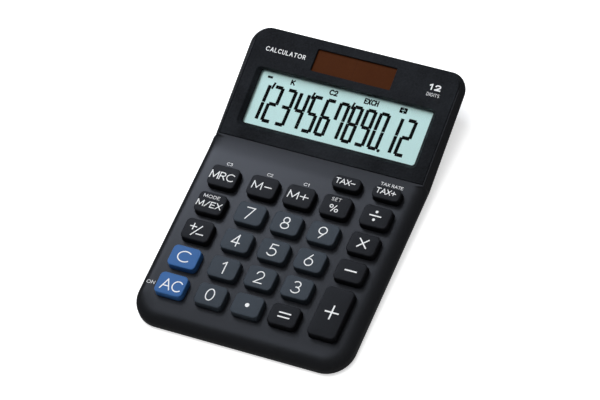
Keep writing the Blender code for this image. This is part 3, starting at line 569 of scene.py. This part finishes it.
# Amorphous silicon seen through glass: dark brown, with scribed lines between its cells.
silicon = {"roughness": 0.35, "grain": 1.2 * mm, "relief": 0.0006 * mm, "mottle": 0.12, "gloss": 0.03}
solar_glass = moulded("amorphous_silicon_glass", "#44230F", **silicon)
cell_width, scribed_line = 9.55 * mm, 0.12 * mm
tree = solar_glass.node_tree
shader = tree.nodes["Principled BSDF"]
ground = shader.inputs["Base Color"].links[0].from_socket
place = add(tree, "ShaderNodeTexCoord").outputs["Object"]
across = put(tree, "ShaderNodeSeparateXYZ", {0: place})
cell = maths(tree, "PINGPONG", across, cell_width)
line = maths(tree, "LESS_THAN", cell, scribed_line)
line = maths(tree, "MULTIPLY", line, 0.35)
lined = add(tree, "ShaderNodeMix", {0: line, 6: ground, 7: colour("#2A1710")}, data_type="RGBA")
tree.links.new(lined.outputs[2], shader.inputs["Base Color"])
refinish(solar_glass, "solar_cell")


# --- Key caps ----------------------------------------------------------------------------------------------
# Twenty-six moulded ABS caps, each with a flange under the deck that keeps it in. The digits are slate, the
# two clear keys blue and the rest black. Their faces are slightly crowned and their edges well rounded.

# Injection-moulded ABS, lightly textured: satin, with a soft highlight along the edges.
finishes, key_slots = {}, {}
for name, code, gloss, slot in (
    ("slate", "#333A41", 0.25, "grey_key_plastic"),
    ("black", "#121316", 0.22, "black_key_plastic"),
    ("blue", "#36629A", 0.25, "blue_key_plastic"),
):
    finishes[name] = moulded(f"satin_{name}_abs", code, 0.45, 0.3 * mm, 0.003 * mm, ior=1.54, gloss=gloss)
    key_slots[name] = slot
key_rise = 3.3 * mm  # from the deck's plane to the middle of a cap's face
crown_drop, edge_drop = 0.1 * mm, 0.42 * mm
draft, edge_across = 0.06 * mm, 0.5 * mm  # on each side, in the walls and in the rounded edge
corner_loss = 0.25 * mm

for name, column, along, size, finish in keys:
    corner = key_corner(size)
    place = (columns[column], along)
    rings = [rounded(size[0] + mm, size[1] + mm, corner, z * mm, place) for z in (-2.4, -1.8)]
    rings += [rounded(*size, corner, z * mm, place) for z in (-1.8, 0.4)]
    for n in range(7):
        turn = pi / 2 * n / 6
        inset = 2 * (draft + edge_across * (1 - cos(turn)))
        z = key_rise - crown_drop - edge_drop * (1 - sin(turn))
        rings.append(rounded(size[0] - inset, size[1] - inset, corner - corner_loss * n / 6, z, place))
    for n in range(1, 5):
        share = 1 - n / 5
        crown = [(s - 2 * (draft + edge_across)) * share for s in size]
        z = key_rise - crown_drop * share**2
        rings.append(rounded(*crown, (corner - corner_loss) * share, z, place))
    cap = piece(f"cap_{name}", block(rings), finishes[finish], 60, on_deck)
    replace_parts(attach(cap, f"key_{name}"), f"key_{name}")


# --- Printing ----------------------------------------------------------------------------------------------
# The legends are pad-printed in white ink, and the liquid crystal's figures are dark segments on its glass.
# Each is a set of strokes, which Geometry Nodes turn into low beads of ink with round ends.


def arc(x, y, across, up, first, last, count=22):
    """Points of an arc of an ellipse, from one angle to another in degrees."""
    turns = [radians(first + (last - first) * n / count) for n in range(count + 1)]
    return [(x + across * cos(t), y + up * sin(t)) for t in turns]


def ring_of(x, y, across, up):
    """A closed oval."""
    return arc(x, y, across, up, 0, 360)


glyphs = {
    "A": [[(0, 0), (0.42, 1), (0.84, 0)], [(0.15, 0.34), (0.69, 0.34)]],
    "C": [arc(0.47, 0.5, 0.47, 0.5, 48, 312)],
    "D": [[(0, 0), (0, 1)], [(0, 1), *arc(0.28, 0.5, 0.46, 0.5, 90, -90), (0, 0)]],
    "E": [[(0.56, 1), (0, 1)], [(0, 1), (0, 0)], [(0, 0), (0.56, 0)], [(0, 0.52), (0.5, 0.52)]],
    "G": [arc(0.47, 0.5, 0.47, 0.5, 48, 350), [(0.93, 0.45), (0.52, 0.45)]],
    "H": [[(0, 0), (0, 1)], [(0.68, 0), (0.68, 1)], [(0, 0.52), (0.68, 0.52)]],
    "I": [[(0, 0), (0, 1)]],
    "K": [[(0, 0), (0, 1)], [(0.62, 1), (0, 0.38)], [(0.2, 0.58), (0.66, 0)]],
    "L": [[(0, 1), (0, 0)], [(0, 0), (0.52, 0)]],
    "M": [[(0, 0), (0.05, 1)], [(0.05, 1), (0.46, 0.12)], [(0.46, 0.12), (0.87, 1)], [(0.87, 1), (0.92, 0)]],
    "N": [[(0, 0), (0, 1)], [(0, 1), (0.7, 0)], [(0.7, 0), (0.7, 1)]],
    "O": [ring_of(0.48, 0.5, 0.48, 0.5)],
    "R": [
        [(0, 0), (0, 1)],
        [(0, 1), *arc(0.3, 0.74, 0.28, 0.26, 90, -90), (0, 0.48)],
        [(0.3, 0.48), (0.62, 0)],
    ],
    "S": [arc(0.29, 0.75, 0.27, 0.25, 40, 270) + arc(0.29, 0.25, 0.29, 0.25, 90, -145)],
    "T": [[(0, 1), (0.68, 1)], [(0.34, 1), (0.34, 0)]],
    "U": [[(0, 1), *arc(0.33, 0.33, 0.33, 0.33, 180, 360), (0.66, 1)]],
    "X": [[(0, 0), (0.68, 1)], [(0, 1), (0.68, 0)]],
    "0": [ring_of(0.36, 0.5, 0.36, 0.5)],
    "1": [[(0.02, 0.8), (0.28, 1)], [(0.28, 1), (0.28, 0)]],
    "2": [[*arc(0.32, 0.69, 0.31, 0.31, 165, -38), (0, 0)], [(0, 0), (0.66, 0)]],
    "3": [arc(0.29, 0.75, 0.27, 0.25, 145, -90), arc(0.29, 0.26, 0.33, 0.26, 90, -150)],
    "4": [[(0.5, 0), (0.5, 1)], [(0.5, 1), (0, 0.29)], [(0, 0.29), (0.72, 0.29)]],
    "5": [
        [(0.58, 1), (0.13, 1)],
        [(0.13, 1), (0.07, 0.56)],
        [(0.07, 0.56), *arc(0.27, 0.32, 0.34, 0.32, 110, -150)],
    ],
    "6": [[(0.46, 1), (0.07, 0.46)], ring_of(0.34, 0.31, 0.33, 0.31)],
    "7": [[(0, 1), (0.64, 1)], [(0.64, 1), (0.17, 0)]],
    "8": [ring_of(0.34, 0.76, 0.25, 0.24), ring_of(0.34, 0.26, 0.33, 0.26)],
    "9": [[(0.22, 0), (0.61, 0.54)], ring_of(0.34, 0.69, 0.33, 0.31)],
    "+": [[(0, 0.5), (0.72, 0.5)], [(0.36, 0.14), (0.36, 0.86)]],
    "-": [[(0, 0.5), (0.66, 0.5)]],
    "/": [[(0, 0), (0.5, 1)]],
    "%": [ring_of(0.2, 0.78, 0.2, 0.22), ring_of(0.98, 0.22, 0.2, 0.22), [(0.82, 1), (0.36, 0)]],
    " ": [],
}
widths = {" ": 0.32, "I": 0.0, "%": 1.18, "M": 0.92}


def lettering(text, box, spacing=0.26):
    """Strokes of a line of text that fills a box, given in mm as left, lowest, right and highest."""
    x0, y0, x1, y1 = (value * mm for value in box)
    strokes, at = [], 0.0
    for letter in text:
        parts = glyphs[letter]
        strokes += [[(x + at, y) for x, y in part] for part in parts]
        at += widths[letter] if letter in widths else max(x for part in parts for x, y in part)
        at += spacing
    across, up = (x1 - x0) / (at - spacing), y1 - y0
    return [[(x0 + x * across, y0 + y * up) for x, y in part] for part in strokes]


def start_tree(name, points, *sizes, look):
    """A Geometry Nodes tree that takes points, sizes and a material by name, and those inputs' outputs."""
    tree = bpy.data.node_groups.new(name, "GeometryNodeTree")
    tree.is_modifier = True
    kinds = {points: "Geometry", **{size: "Float" for size in sizes}, look: "Material"}
    for label, kind in kinds.items():
        tree.interface.new_socket(label, in_out="INPUT", socket_type=f"NodeSocket{kind}")
    tree.interface.new_socket("Made", in_out="OUTPUT", socket_type="NodeSocketGeometry")
    return tree, add(tree, "NodeGroupInput").outputs


def end_tree(tree, shape, look):
    """Realises the instances of a tree's shape, gives it its material and puts it out."""
    whole = put(tree, "GeometryNodeRealizeInstances", {0: shape})
    made = put(tree, "GeometryNodeSetMaterial", {"Geometry": whole, "Material": look})
    add(tree, "NodeGroupOutput", {0: made})
    return tree


def half_ball(tree, segments, rings, radius, keep, squash):
    """The upper half of a ball (MAXIMUM) or its lower half (MINIMUM), with its height scaled by squash."""
    ball = put(tree, "GeometryNodeMeshUVSphere", {"Segments": segments, "Rings": rings, "Radius": radius})
    parts = add(tree, "ShaderNodeSeparateXYZ", {0: put(tree, "GeometryNodeInputPosition")}).outputs
    z = maths(tree, "MULTIPLY", maths(tree, keep, parts[2], 0.0), squash)
    half = {"Geometry": ball, "Position": xyz(tree, parts[0], parts[1], z)}
    half = put(tree, "GeometryNodeSetPosition", half)
    return put(tree, "GeometryNodeMergeByDistance", {"Geometry": half, "Distance": 1e-6})


def stroke_tree():
    """Geometry Nodes that turn strokes into beads: the points' swell rounds the ends."""
    tree, given = start_tree("ink_strokes", "Strokes", "Bead width", "Bead height", look="Ink")
    lines = put(tree, "GeometryNodeMeshToCurve", {"Mesh": given["Strokes"]})
    swell = put(tree, "GeometryNodeInputNamedAttribute", {"Name": "swell"}, data_type="FLOAT")
    lines = put(tree, "GeometryNodeSetCurveRadius", {"Curve": lines, "Radius": swell})
    half = maths(tree, "MULTIPLY", given["Bead width"], 0.5)
    nib = put(tree, "GeometryNodeCurvePrimitiveCircle", {"Resolution": 10, "Radius": half})
    beads = add(tree, "GeometryNodeCurveToMesh", {"Curve": lines, "Profile Curve": nib, "Fill Caps": True})
    flat = add(tree, "ShaderNodeMath", {0: given["Bead height"], 1: given["Bead width"]}, operation="DIVIDE")
    scale = xyz(tree, 1.0, 1.0, flat.outputs[0])
    low = put(tree, "GeometryNodeTransform", {"Geometry": beads.outputs[0], "Scale": scale})
    return end_tree(tree, low, given["Ink"])


def node_piece(name, points, edges, tree, attributes={}, **inputs):
    """A plain mesh made by a Geometry Nodes tree from points."""
    mesh = bpy.data.meshes.new(name)
    mesh.from_pydata(points, edges, [])
    for label, values in attributes.items():
        mesh.attributes.new(label, "FLOAT", "POINT").data.foreach_set("value", values)
    made = bpy.data.objects.new(name, mesh)
    bpy.context.scene.collection.objects.link(made)
    step = made.modifiers.new(name, "NODES")
    step.node_group = tree
    for item in tree.interface.items_tree:
        label = item.name.lower().replace(" ", "_")
        if label in inputs:
            step[item.identifier] = inputs[label]
    settle(made)
    return made


ink_strokes = stroke_tree()


def printed(name, strokes, width, look, place, z, body="case", height=0.05 * mm):
    """Prints strokes, given as points in metres on the plane at height z of place."""
    points, edges, swell = [], [], []
    for part in strokes:
        closed = (Vector(part[0]) - Vector(part[-1])).length < 1e-7 and len(part) > 2
        path = [Vector(p) for p in (part[:-1] if closed else part)]
        path = [p for n, p in enumerate(path) if n == 0 or (p - path[n - 1]).length > 1e-7]
        if closed:
            rows_of = [(path, [1.0] * len(path), True)]
        else:
            runs, run = [], [path[0]]
            for n in range(1, len(path)):
                run.append(path[n])
                if n + 1 < len(path) and (path[n] - path[n - 1]).angle(path[n + 1] - path[n]) > 0.6:
                    runs.append(run)
                    run = [path[n]]
            rows_of = []
            for run in [*runs, run]:
                radius = width / 2
                first, last = (run[1] - run[0]).normalized(), (run[-2] - run[-1]).normalized()
                cap_turns = [radians(a) for a in (8, 30, 55)]
                head = [run[0] - first * radius * cos(t) for t in cap_turns]
                tail = [run[-1] - last * radius * cos(t) for t in cap_turns]
                sizes = [sin(t) for t in cap_turns]
                path_of = head + run + tail[::-1]
                rows_of.append((path_of, sizes + [1.0] * len(run) + sizes[::-1], False))
        for line, sizes, closed_line in rows_of:
            start = len(points)
            points += [(p.x, p.y, 0) for p in line]
            swell += sizes
            edges += [(start + n, start + n + 1) for n in range(len(line) - 1)]
            if closed_line:
                edges.append((start + len(line) - 1, start))
    made = node_piece(
        name, points, edges, ink_strokes, {"swell": swell}, bead_width=width, bead_height=height, ink=look
    )
    made.data.transform(place @ Matrix.Translation((0, 0, z)))
    made.data.shade_smooth()
    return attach(made, body)


# Two-part pad ink: opaque white, slightly raised, matt.
white_ink = moulded("white_pad_ink", "#F4F5F4", 0.45, 0.2 * mm, 0.001 * mm, mottle=0.03)


def dot(x, y, size):
    """A ring with no hole left in it, when its stroke is half the size, all in mm."""
    return ring_of(x * mm, y * mm, size * mm / 4, size * mm / 4)


def bar(x0, y0, x1, y1):
    """One straight stroke, from its ends in mm."""
    return [(x0 * mm, y0 * mm), (x1 * mm, y1 * mm)]


# For each key, its strokes and their width in mm
legends = {
    "all_clear": [(lettering("AC", (-40.7, 14.3, -31.6, 19.2), 0.16), 0.56)],
    "clear": [(lettering("C", (-39.6, 28.8, -34.2, 33.9)), 0.56)],
    "memory_recall": [(lettering("MRC", (-42.7, 71.6, -31.7, 75.0), 0.2), 0.46)],
    "memory_minus": [(lettering("M-", (-22.3, 71.8, -13.4, 75.1), 0.3), 0.46)],
    "memory_plus": [(lettering("M+", (-5.0, 71.8, 4.3, 75.1), 0.22), 0.46)],
    "exchange": [
        (lettering("M/EX", (-42.7, 57.2, -31.1, 59.8)), 0.42),
        (lettering("MODE", (-41.0, 61.6, -33.4, 63.0), 0.3), 0.24),
    ],
    "point": [([dot(0.14, 17.24, 2)], 1.02)],
    "equals": [([bar(15.3, 18.2, 20.3, 18.2), bar(15.3, 16.2, 20.3, 16.2)], 0.65)],
    "plus": [([bar(34.2, 24.31, 40.0, 24.31), bar(37.08, 21.2, 37.08, 27.4)], 0.75)],
    "minus": [([bar(34.4, 45.33, 39.4, 45.33)], 0.7)],
    "multiply": [([bar(34.6, 57.4, 38.6, 61.4), bar(34.6, 61.4, 38.6, 57.4)], 0.62)],
    "divide": [([bar(33.9, 73.5, 38.9, 73.5)], 0.62), ([dot(36.4, y, 1.3) for y in (75.5, 71.5)], 0.67)],
    "percent": [
        (lettering("%", (15.2, 70.4, 19.4, 73.5)), 0.42),
        (lettering("SET", (14.7, 75.6, 18.9, 77.1), 0.4), 0.2),
    ],
    "tax_minus": [(lettering("TAX-", (12.5, 84.4, 21.5, 86.7), 0.16), 0.38)],
    "tax_plus": [(lettering("TAX+", (31.7, 84.7, 40.7, 87.0), 0.16), 0.38)],
}
sign = [bar(-40.3, 46.5, -37.5, 46.5), bar(-38.9, 45.1, -38.9, 47.9), bar(-38.6, 42.3, -35.0, 47.4)]
legends["sign"] = [(sign + [bar(-36.3, 43.3, -33.2, 43.3)], 0.5)]
for row, digits in enumerate(("0", "123", "456", "789")):
    for n, digit in enumerate(digits):
        x, y = columns[1 + n] / mm, rows[row] / mm
        half = 0.75 if digit == "1" else 1.85
        box = (x - half - 0.2, y - 2.75, x + half - 0.2, y + 2.75)
        legends[digit] = [(lettering(digit, box), 0.52)]
for name, column, along, size, finish in keys:
    for n, (strokes, width) in enumerate(legends[name]):
        x = [abs(p[0] - columns[column]) / (size[0] / 2) for part in strokes for p in part]
        fall = 0.05 * mm * (sum(x) / len(x)) ** 2
        label = f"legend_{name}" if n == 0 else f"legend_{name}_small"
        printed(label, strokes, width * mm, white_ink, on_deck, key_rise - fall, f"key_{name}", 0.12 * mm)

captions = lettering("C3", (-39.2, 80.7, -36.6, 82.0)) + lettering("C2", (-19.5, 80.6, -16.9, 81.9))
captions += lettering("C1", (-1.8, 80.6, 0.6, 81.9)) + lettering("TAX RATE", (31.1, 90.2, 41.5, 91.4), 0.2)
captions += lettering("ON", (-49.4, 16.7, -45.5, 18.1))
# This print is laid on the deck, which curves up at the seam and rolls over at the left.
deck_print = printed("deck_print", captions, 0.21 * mm, white_ink, on_deck, 0.0)
surface = BVHTree.FromObject(case_top, bpy.context.evaluated_depsgraph_get())
for corner in deck_print.data.vertices:
    found = surface.ray_cast(Vector((corner.co.x, corner.co.y, 0.1)), Vector((0, 0, -1)))[0]
    if found:
        corner.co.z += found.z - (on_deck @ (on_deck.inverted() @ corner.co * Vector((1, 1, 0)))).z
for name, text, box, spacing, width in (
    ("small", "DIGITS", (36.1, 39.9, 41.9, 41.3), 0.4, 0.18 * mm),
    ("figures", "12", (36.3, 43.0, 41.3, 45.2), 0.5, 0.62 * mm),
    ("word", "CALCULATOR", (-42.5, 42.1, -23.5, 43.9), 0.42, 0.34 * mm),
):
    printed(f"panel_print_{name}", lettering(text, box, spacing), width, white_ink, on_display, 0.0)

# Liquid crystal that is switched on: it blocks the light, so it looks black and matt.
dark_segment = moulded("dark_liquid_crystal", "#030404", 0.6, 0.2 * mm, 0.0, mottle=0.02, gloss=0.04)
segments = {"1": "bc", "2": "abged", "3": "abgcd", "4": "fgbc", "5": "afgcd", "6": "afgecd", "7": "afbc"}
segments.update({"8": "abcdefg", "9": "abcdfg", "0": "abcdef"})
shown = "123456789012"
digit_at = [-36.45 + 6.443 * n for n in range(len(shown))]  # the right side of each digit, in mm
lowest, highest = 11.6, 27.9
middle = (lowest + highest) / 2
lean = 0.6 / (highest - lowest)
apart, end_gap = 0.92, 0.75  # from the segments' corners to their strokes' ends
figures = []
for right, digit in zip(digit_at, shown):
    left = right - 3.75
    place_of = {
        "a": (left + apart, highest, right - apart, highest),
        "g": (left + apart, middle, right - apart, middle),
        "d": (left + apart, lowest, right - apart, lowest),
        "b": (right, highest - end_gap, right, middle + apart),
        "c": (right, middle - apart, right, lowest + end_gap),
        "f": (left, highest - end_gap, left, middle + apart),
        "e": (left, middle - apart, left, lowest + end_gap),
    }
    for segment in segments[digit]:
        x0, y0, x1, y1 = place_of[segment]
        figures.append(bar(x0 + lean * (y0 - lowest), y0, x1 + lean * (y1 - lowest), y1))
signs = lettering("K", (-26.8, 30.7, -25.3, 32.6)) + lettering("C2", (-8.0, 30.6, -4.5, 32.7), 0.36)
signs += lettering("EXCH", (8.9, 30.6, 15.2, 32.7), 0.36)
crystal_top = -3.38 * mm
for name, strokes, width in (
    ("figures", figures, 1.6 * mm),
    ("commas", [bar(digit_at[n] + 2.0, 27.0, digit_at[n] + 2.5, 29.2) for n in (0, 3, 6)], mm),
    ("point", [dot(22.88, 11.2, 1.5)], 0.77 * mm),
    ("minus", [bar(-37.9, 31.6, -36.5, 31.6)], 1.05 * mm),
    ("signs", signs, 0.62 * mm),
):
    printed(f"lcd_{name}", strokes, width, dark_segment, on_display, crystal_top, height=0.08 * mm)

# The boxed divide sign is a dark plate with the sign left pale.
bm = bmesh.new()
plate = (3.5 * mm, 2.6 * mm, 0.4 * mm)
skin(bm, [rounded(*plate, z * mm, (27.43 * mm, 31.6 * mm), 4) for z in (-3.4, -3.35)])
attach(piece("lcd_box", bm, dark_segment, at=on_display), "case")
signs = [bar(26.7, 31.6, 28.2, 31.6), dot(27.43, 32.4, 0.5), dot(27.43, 30.8, 0.5)]
printed("lcd_box_sign", signs, 0.24 * mm, pale_crystal, on_display, -3.35 * mm, height=0.04 * mm)


# --- Screws ------------------------------------------------------------------------------------------------
# Nine nickel-plated steel screws with pan heads and a cross recess: four through the lower case, four
# through the board and one in the battery door. Geometry Nodes place one head and one shank for each.

# Nickel-plated steel, barrel-plated: a warm grey metal, fairly bright.
nickel_steel = moulded("nickel_plated_steel", "#B9B5AC", 0.28, 0.6 * mm, 0.001 * mm, ior=2.0, metallic=1.0)


def screw_tree():
    """A pan head with a cross recess, and a shank of the point's reach, turned by the point's tilt."""
    sizes = ("Head radius", "Head height", "Shank radius", "Recess width")
    tree, given = start_tree("pan_screws", "Seats", *sizes, look="Metal")

    def placed(geometry, x=0.0, y=0.0, z=0.0):
        at = xyz(tree, x, y, z)
        return put(tree, "GeometryNodeTransform", {"Geometry": geometry, "Translation": at})

    # The head: a ball of the head's radius, flattened and cut off at its seat
    squash = maths(tree, "DIVIDE", given["Head height"], given["Head radius"])
    head = half_ball(tree, 32, 20, given["Head radius"], "MINIMUM", squash)
    head = placed(head, z=given["Head height"])
    long = maths(tree, "MULTIPLY", given["Head radius"], 1.15)
    cut = add(tree, "GeometryNodeMeshBoolean", {"Mesh 1": head}, operation="DIFFERENCE", solver="EXACT")
    for across, along in ((long, given["Recess width"]), (given["Recess width"], long)):
        size = xyz(tree, across, along, given["Head height"])
        tool = put(tree, "GeometryNodeMeshCube", {"Size": size})
        tree.links.new(tool, cut.inputs["Mesh 2"])

    # The shank: a cylinder one metre long, from the seat up, scaled by the reach
    rod = {"Vertices": 16, "Radius": given["Shank radius"], "Depth": 1.0, "Side Segments": 1}
    shank = placed(put(tree, "GeometryNodeMeshCylinder", rod), z=0.5)
    kind = "GeometryNodeInputNamedAttribute"
    reach, tilt = (put(tree, kind, {"Name": name}, data_type="FLOAT") for name in ("reach", "tilt"))
    turn = xyz(tree, tilt, 0.0, 0.0)
    turn = put(tree, "FunctionNodeEulerToRotation", {0: turn})
    stretch = xyz(tree, 1.0, 1.0, reach)
    seat = {"Points": given["Seats"], "Rotation": turn}
    both = add(tree, "GeometryNodeJoinGeometry")
    for made in ({**seat, "Instance": cut.outputs[0]}, {**seat, "Instance": shank, "Scale": stretch}):
        tree.links.new(put(tree, "GeometryNodeInstanceOnPoints", made), both.inputs[0])
    return end_tree(tree, both.outputs[0], given["Metal"])


names = [f"case_screw_{n + 1}" for n in range(4)] + ["battery_door_screw"]
seats, reaches, tilts = [], [], []
for name in names:
    low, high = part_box(name)
    seats.append(((low[0] + high[0]) / 2, (low[1] + high[1]) / 2, low[2]))
    reaches.append(high[2] - low[2])
    tilts.append(0.0)
board_screw_rows = (38.3 * mm, 79.7 * mm)
for n in range(4):
    low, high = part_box(f"board_screw_{n + 1}")
    side = 1 if (low[0] + high[0]) > 0 else -1
    middle = Vector((0, (low[1] + high[1]) / 2, (low[2] + high[2]) / 2))
    near = min(board_screw_rows, key=lambda v: abs((on_deck.inverted() @ middle).y - v))
    seats.append(on_deck @ Vector((side * screw_column, near, -6.4 * mm)))
    reaches.append(high[2] - low[2] - 0.15 * mm)
    tilts.append(deck_tilt)
    names.append(f"board_screw_{n + 1}")
screws = node_piece(
    "screws",
    seats,
    [],
    screw_tree(),
    {"reach": reaches, "tilt": tilts},
    head_radius=1.9 * mm,
    head_height=0.8 * mm,
    shank_radius=0.88 * mm,
    recess_width=0.6 * mm,
    metal=nickel_steel,
)
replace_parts(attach(screws, "case"), *names)


# --- Battery door, cell and feet ---------------------------------------------------------------------------
# The door is a flat ABS plate with grip ribs, held by one screw. Behind it a coin cell lies between two
# nickel-plated spring leaves. The four feet are black rubber discs glued into their recesses.

bm = bmesh.new()
plate = (door_size.x, door_size.y)
skin(bm, [rounded(*plate, mm, z, door_middle) for z in (foot_height, floor_top)])
door = piece("battery_cover", bm, satin_charcoal_abs)
bm = bmesh.new()
recess = [(2.5, 0.5), (2.2, 1.0), (2.2, 1.7), (1.2, 1.7), (1.2, 3)]  # radius and height in mm
turned(bm, [(radius * mm, z * mm) for radius, z in recess], door_screw)
for n in range(5):
    at = (door_low.x + (3.0 + 1.3 * n) * mm, door_middle.y)
    skin(bm, [rounded(0.6 * mm, 9 * mm, 0.25 * mm, z, at, 3) for z in (0.5 * mm, 1.1 * mm)])
carve(door, bm, smooth=35)
soften(door, 0.12 * mm)
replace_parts(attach(door, "case"), "battery_door")
refinish(nickel_steel, "battery_cell", "battery_contact_positive", "battery_contact_negative")

# Die-cut rubber: black and quite matt.
foot_rubber = moulded("black_foot_rubber", "#17181A", 0.75, 0.25 * mm, 0.01 * mm)
profile = [(0.2, 0.05), (2.6, 0.0), (3.2, 0.0), (3.7, 0.12), (3.95, 0.4), (4.0, 0.8), (4.0, 1.3)]
bm = bmesh.new()
for at in feet_at:
    turned(bm, [(radius * mm, z * mm) for radius, z in profile], at, 40)
feet = piece("feet", bm, foot_rubber, 50)
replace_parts(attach(feet, "case"), "rubber_foot_1", "rubber_foot_2", "rubber_foot_3", "rubber_foot_4")


# --- Rubber domes ------------------------------------------------------------------------------------------
# One silicone mat under the keys carries a dome for each key. A pressed key flattens its dome until the
# carbon pill under it bridges the board's contacts.

# Moulded silicone: mid grey, matt and even.
grey_silicone = moulded("grey_silicone", "#8C8E8C", 0.6, 0.5 * mm, 0.004 * mm)
mat_low, mat_high = (Vector(corner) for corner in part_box("rubber_dome_mat"))
front, back = ((on_deck.inverted() @ Vector((0, *corner.yz))).y for corner in (mat_low, mat_high))
mat_bottom, mat_top = -4.2 * mm, -3.7 * mm  # from the deck's plane
size = (mat_high.x - mat_low.x - 0.2 * mm, back - front - 0.5 * mm)
bm = block([rounded(*size, 2 * mm, z, (0, (front + back) / 2)) for z in (mat_bottom, mat_top)])
mat = piece("dome_mat", bm, grey_silicone, at=on_deck)
bm = bmesh.new()
for side in (-1, 1):
    for along in (24.3 * mm, *board_screw_rows):
        turned(bm, [(2.75 * mm, -6 * mm), (2.75 * mm, -2 * mm)], (side * screw_column, along), 24)
carve(mat, bm, at=on_deck)
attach(mat, "case")


def dome_tree():
    """A dome with a pill on top, from flattened balls cut off at the mat."""
    tree, given = start_tree("dome", "Foot", "Foot radius", "Pill radius", "Height", look="Rubber")
    squash = maths(tree, "DIVIDE", given["Height"], given["Foot radius"])
    squash = maths(tree, "MULTIPLY", squash, 0.8)
    dome = half_ball(tree, 24, 16, given["Foot radius"], "MAXIMUM", squash)
    shape = {"Vertices": 24, "Radius Top": given["Pill radius"], "Radius Bottom": given["Pill radius"]}
    pill = put(tree, "GeometryNodeMeshCone", {**shape, "Depth": given["Height"]})
    both = add(tree, "GeometryNodeJoinGeometry")
    for one in (dome, pill):
        tree.links.new(one, both.inputs[0])
    made = {"Points": given["Foot"], "Instance": both.outputs[0]}
    made = put(tree, "GeometryNodeInstanceOnPoints", made)
    return end_tree(tree, made, given["Rubber"])


one_dome, deck_normal = dome_tree(), tuple(on_deck.to_3x3() @ Vector((0, 0, 1)))
domes = []
for name, column, along, size, finish in keys:
    radius = min(3.4 * mm, size[1] / 2)
    inputs = {"foot_radius": radius, "pill_radius": 0.55 * radius, "height": mm, "rubber": grey_silicone}
    dome = node_piece(f"dome_{name}", [(0, 0, 0)], [], one_dome, **inputs)
    at = Vector((columns[column], along, mat_top))
    dome.data.transform(on_deck @ Matrix.Translation(at))
    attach(dome, "case")
    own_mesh(dome)
    tuple(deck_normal)
    domes.append(dome)
for made in [mat, *domes]:
    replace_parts(made, "rubber_dome_mat")


# --- Board -------------------------------------------------------------------------------------------------
# A phenolic paper laminate carries the key contacts, the calculator chip under a drop of black epoxy, and a
# small electrolytic capacitor in a printed sleeve. Two insulated leads come from the solar cell.

laminate = moulded("phenolic_laminate", "#8A6A3A", 0.45, 0.8 * mm, 0.003 * mm, stretch=(1, 0.2, 1))
refinish(laminate, "main_board")
refinish(moulded("black_epoxy", "#0E0E10", 0.2, 1.5 * mm, 0.01 * mm), "controller_chip")
for name, code, roughness, grain, node in (
    ("printed_sleeve", "#16224A", 0.25, 1.0 * mm, "power_capacitor"),
    ("red_insulation", "#A81C1C", 0.4, 0.8 * mm, "solar_lead_positive"),
    ("black_insulation", "#141414", 0.4, 0.8 * mm, "solar_lead_negative"),
):
    refinish(moulded(name, code, roughness, grain, 0.002 * mm), node)


# --- Floor, light and camera -------------------------------------------------------------------------------
# A plain white table. Three soft lights behind, above and to the left draw the highlights on the mouldings,
# and a wide one overhead, which nothing mirrors, fills in between them.

bm = block([rounded(6.0, 6.0, 0.5, z) for z in (-0.02, 0.0)])
white_board = moulded("white_laminate", "#F7F7F7", 0.8, 40 * mm, 0.0, mottle=0.01)
table = piece("table", bm, white_board)
lit = white_board.node_tree.nodes["Principled BSDF"].inputs
lit["Emission Color"].default_value, lit["Emission Strength"].default_value = colour("#FFFFFF"), 0.6
table.visible_glossy = False

world = bpy.data.worlds.new("studio")
bpy.context.scene.world = world
world.use_nodes = True
world.node_tree.nodes["Background"].inputs["Color"].default_value = colour("#F4F6F8")
world.node_tree.nodes["Background"].inputs["Strength"].default_value = 0.13


def softbox(name, towards, distance, width, height, power, tint="#FFFFFF", mirrored=True):
    """A rectangular light in the given direction from the object, facing it."""
    light = bpy.data.lights.new(name, "AREA")
    light.shape, light.size, light.size_y, light.energy = "RECTANGLE", width, height, power
    light.color = colour(tint)[:3]
    made = bpy.data.objects.new(name, light)
    direction = Vector(towards).normalized()
    made.location = direction * distance
    made.rotation_euler = direction.to_track_quat("Z", "Y").to_euler()
    made.visible_glossy = mirrored
    bpy.context.scene.collection.objects.link(made)


softbox("behind_left", (-0.183, 0.193, 0.294), 0.397, 0.18, 0.14, 0.27, "#E3ECFF")
softbox("overhead", (-0.38, 0.13, 0.92), 2.0, 0.5, 0.4, 1.3, "#E3ECFF")
softbox("left", (-0.66, 0.43, 0.62), 2.0, 0.4, 0.5, 2.4, "#E3ECFF")
softbox("high_fill", (-0.1, 0.06, 0.99), 2.4, 2.0, 2.0, 50, mirrored=False)

aim, distance = Vector((-0.205, -0.316, 9.928)) * mm, 1.858358
azimuth, elevation, roll = (radians(angle) for angle in (41.4805, 54.5526, -20.9772))
turned_to = Matrix.Rotation(azimuth, 4, "Z") @ Matrix.Rotation(pi / 2 - elevation, 4, "X")
turned_to @= Matrix.Rotation(roll, 4, "Z")
lens = bpy.data.cameras.new("camera")
lens.lens, lens.sensor_width, lens.clip_start, lens.clip_end = 259.251, 36, 0.1, 20
camera = bpy.data.objects.new("camera", lens)
camera.matrix_world = Matrix.Translation(aim + turned_to @ Vector((0, 0, distance))) @ turned_to
bpy.context.scene.collection.objects.link(camera)
bpy.context.scene.camera = camera
bpy.context.scene.view_settings.view_transform = "Standard"
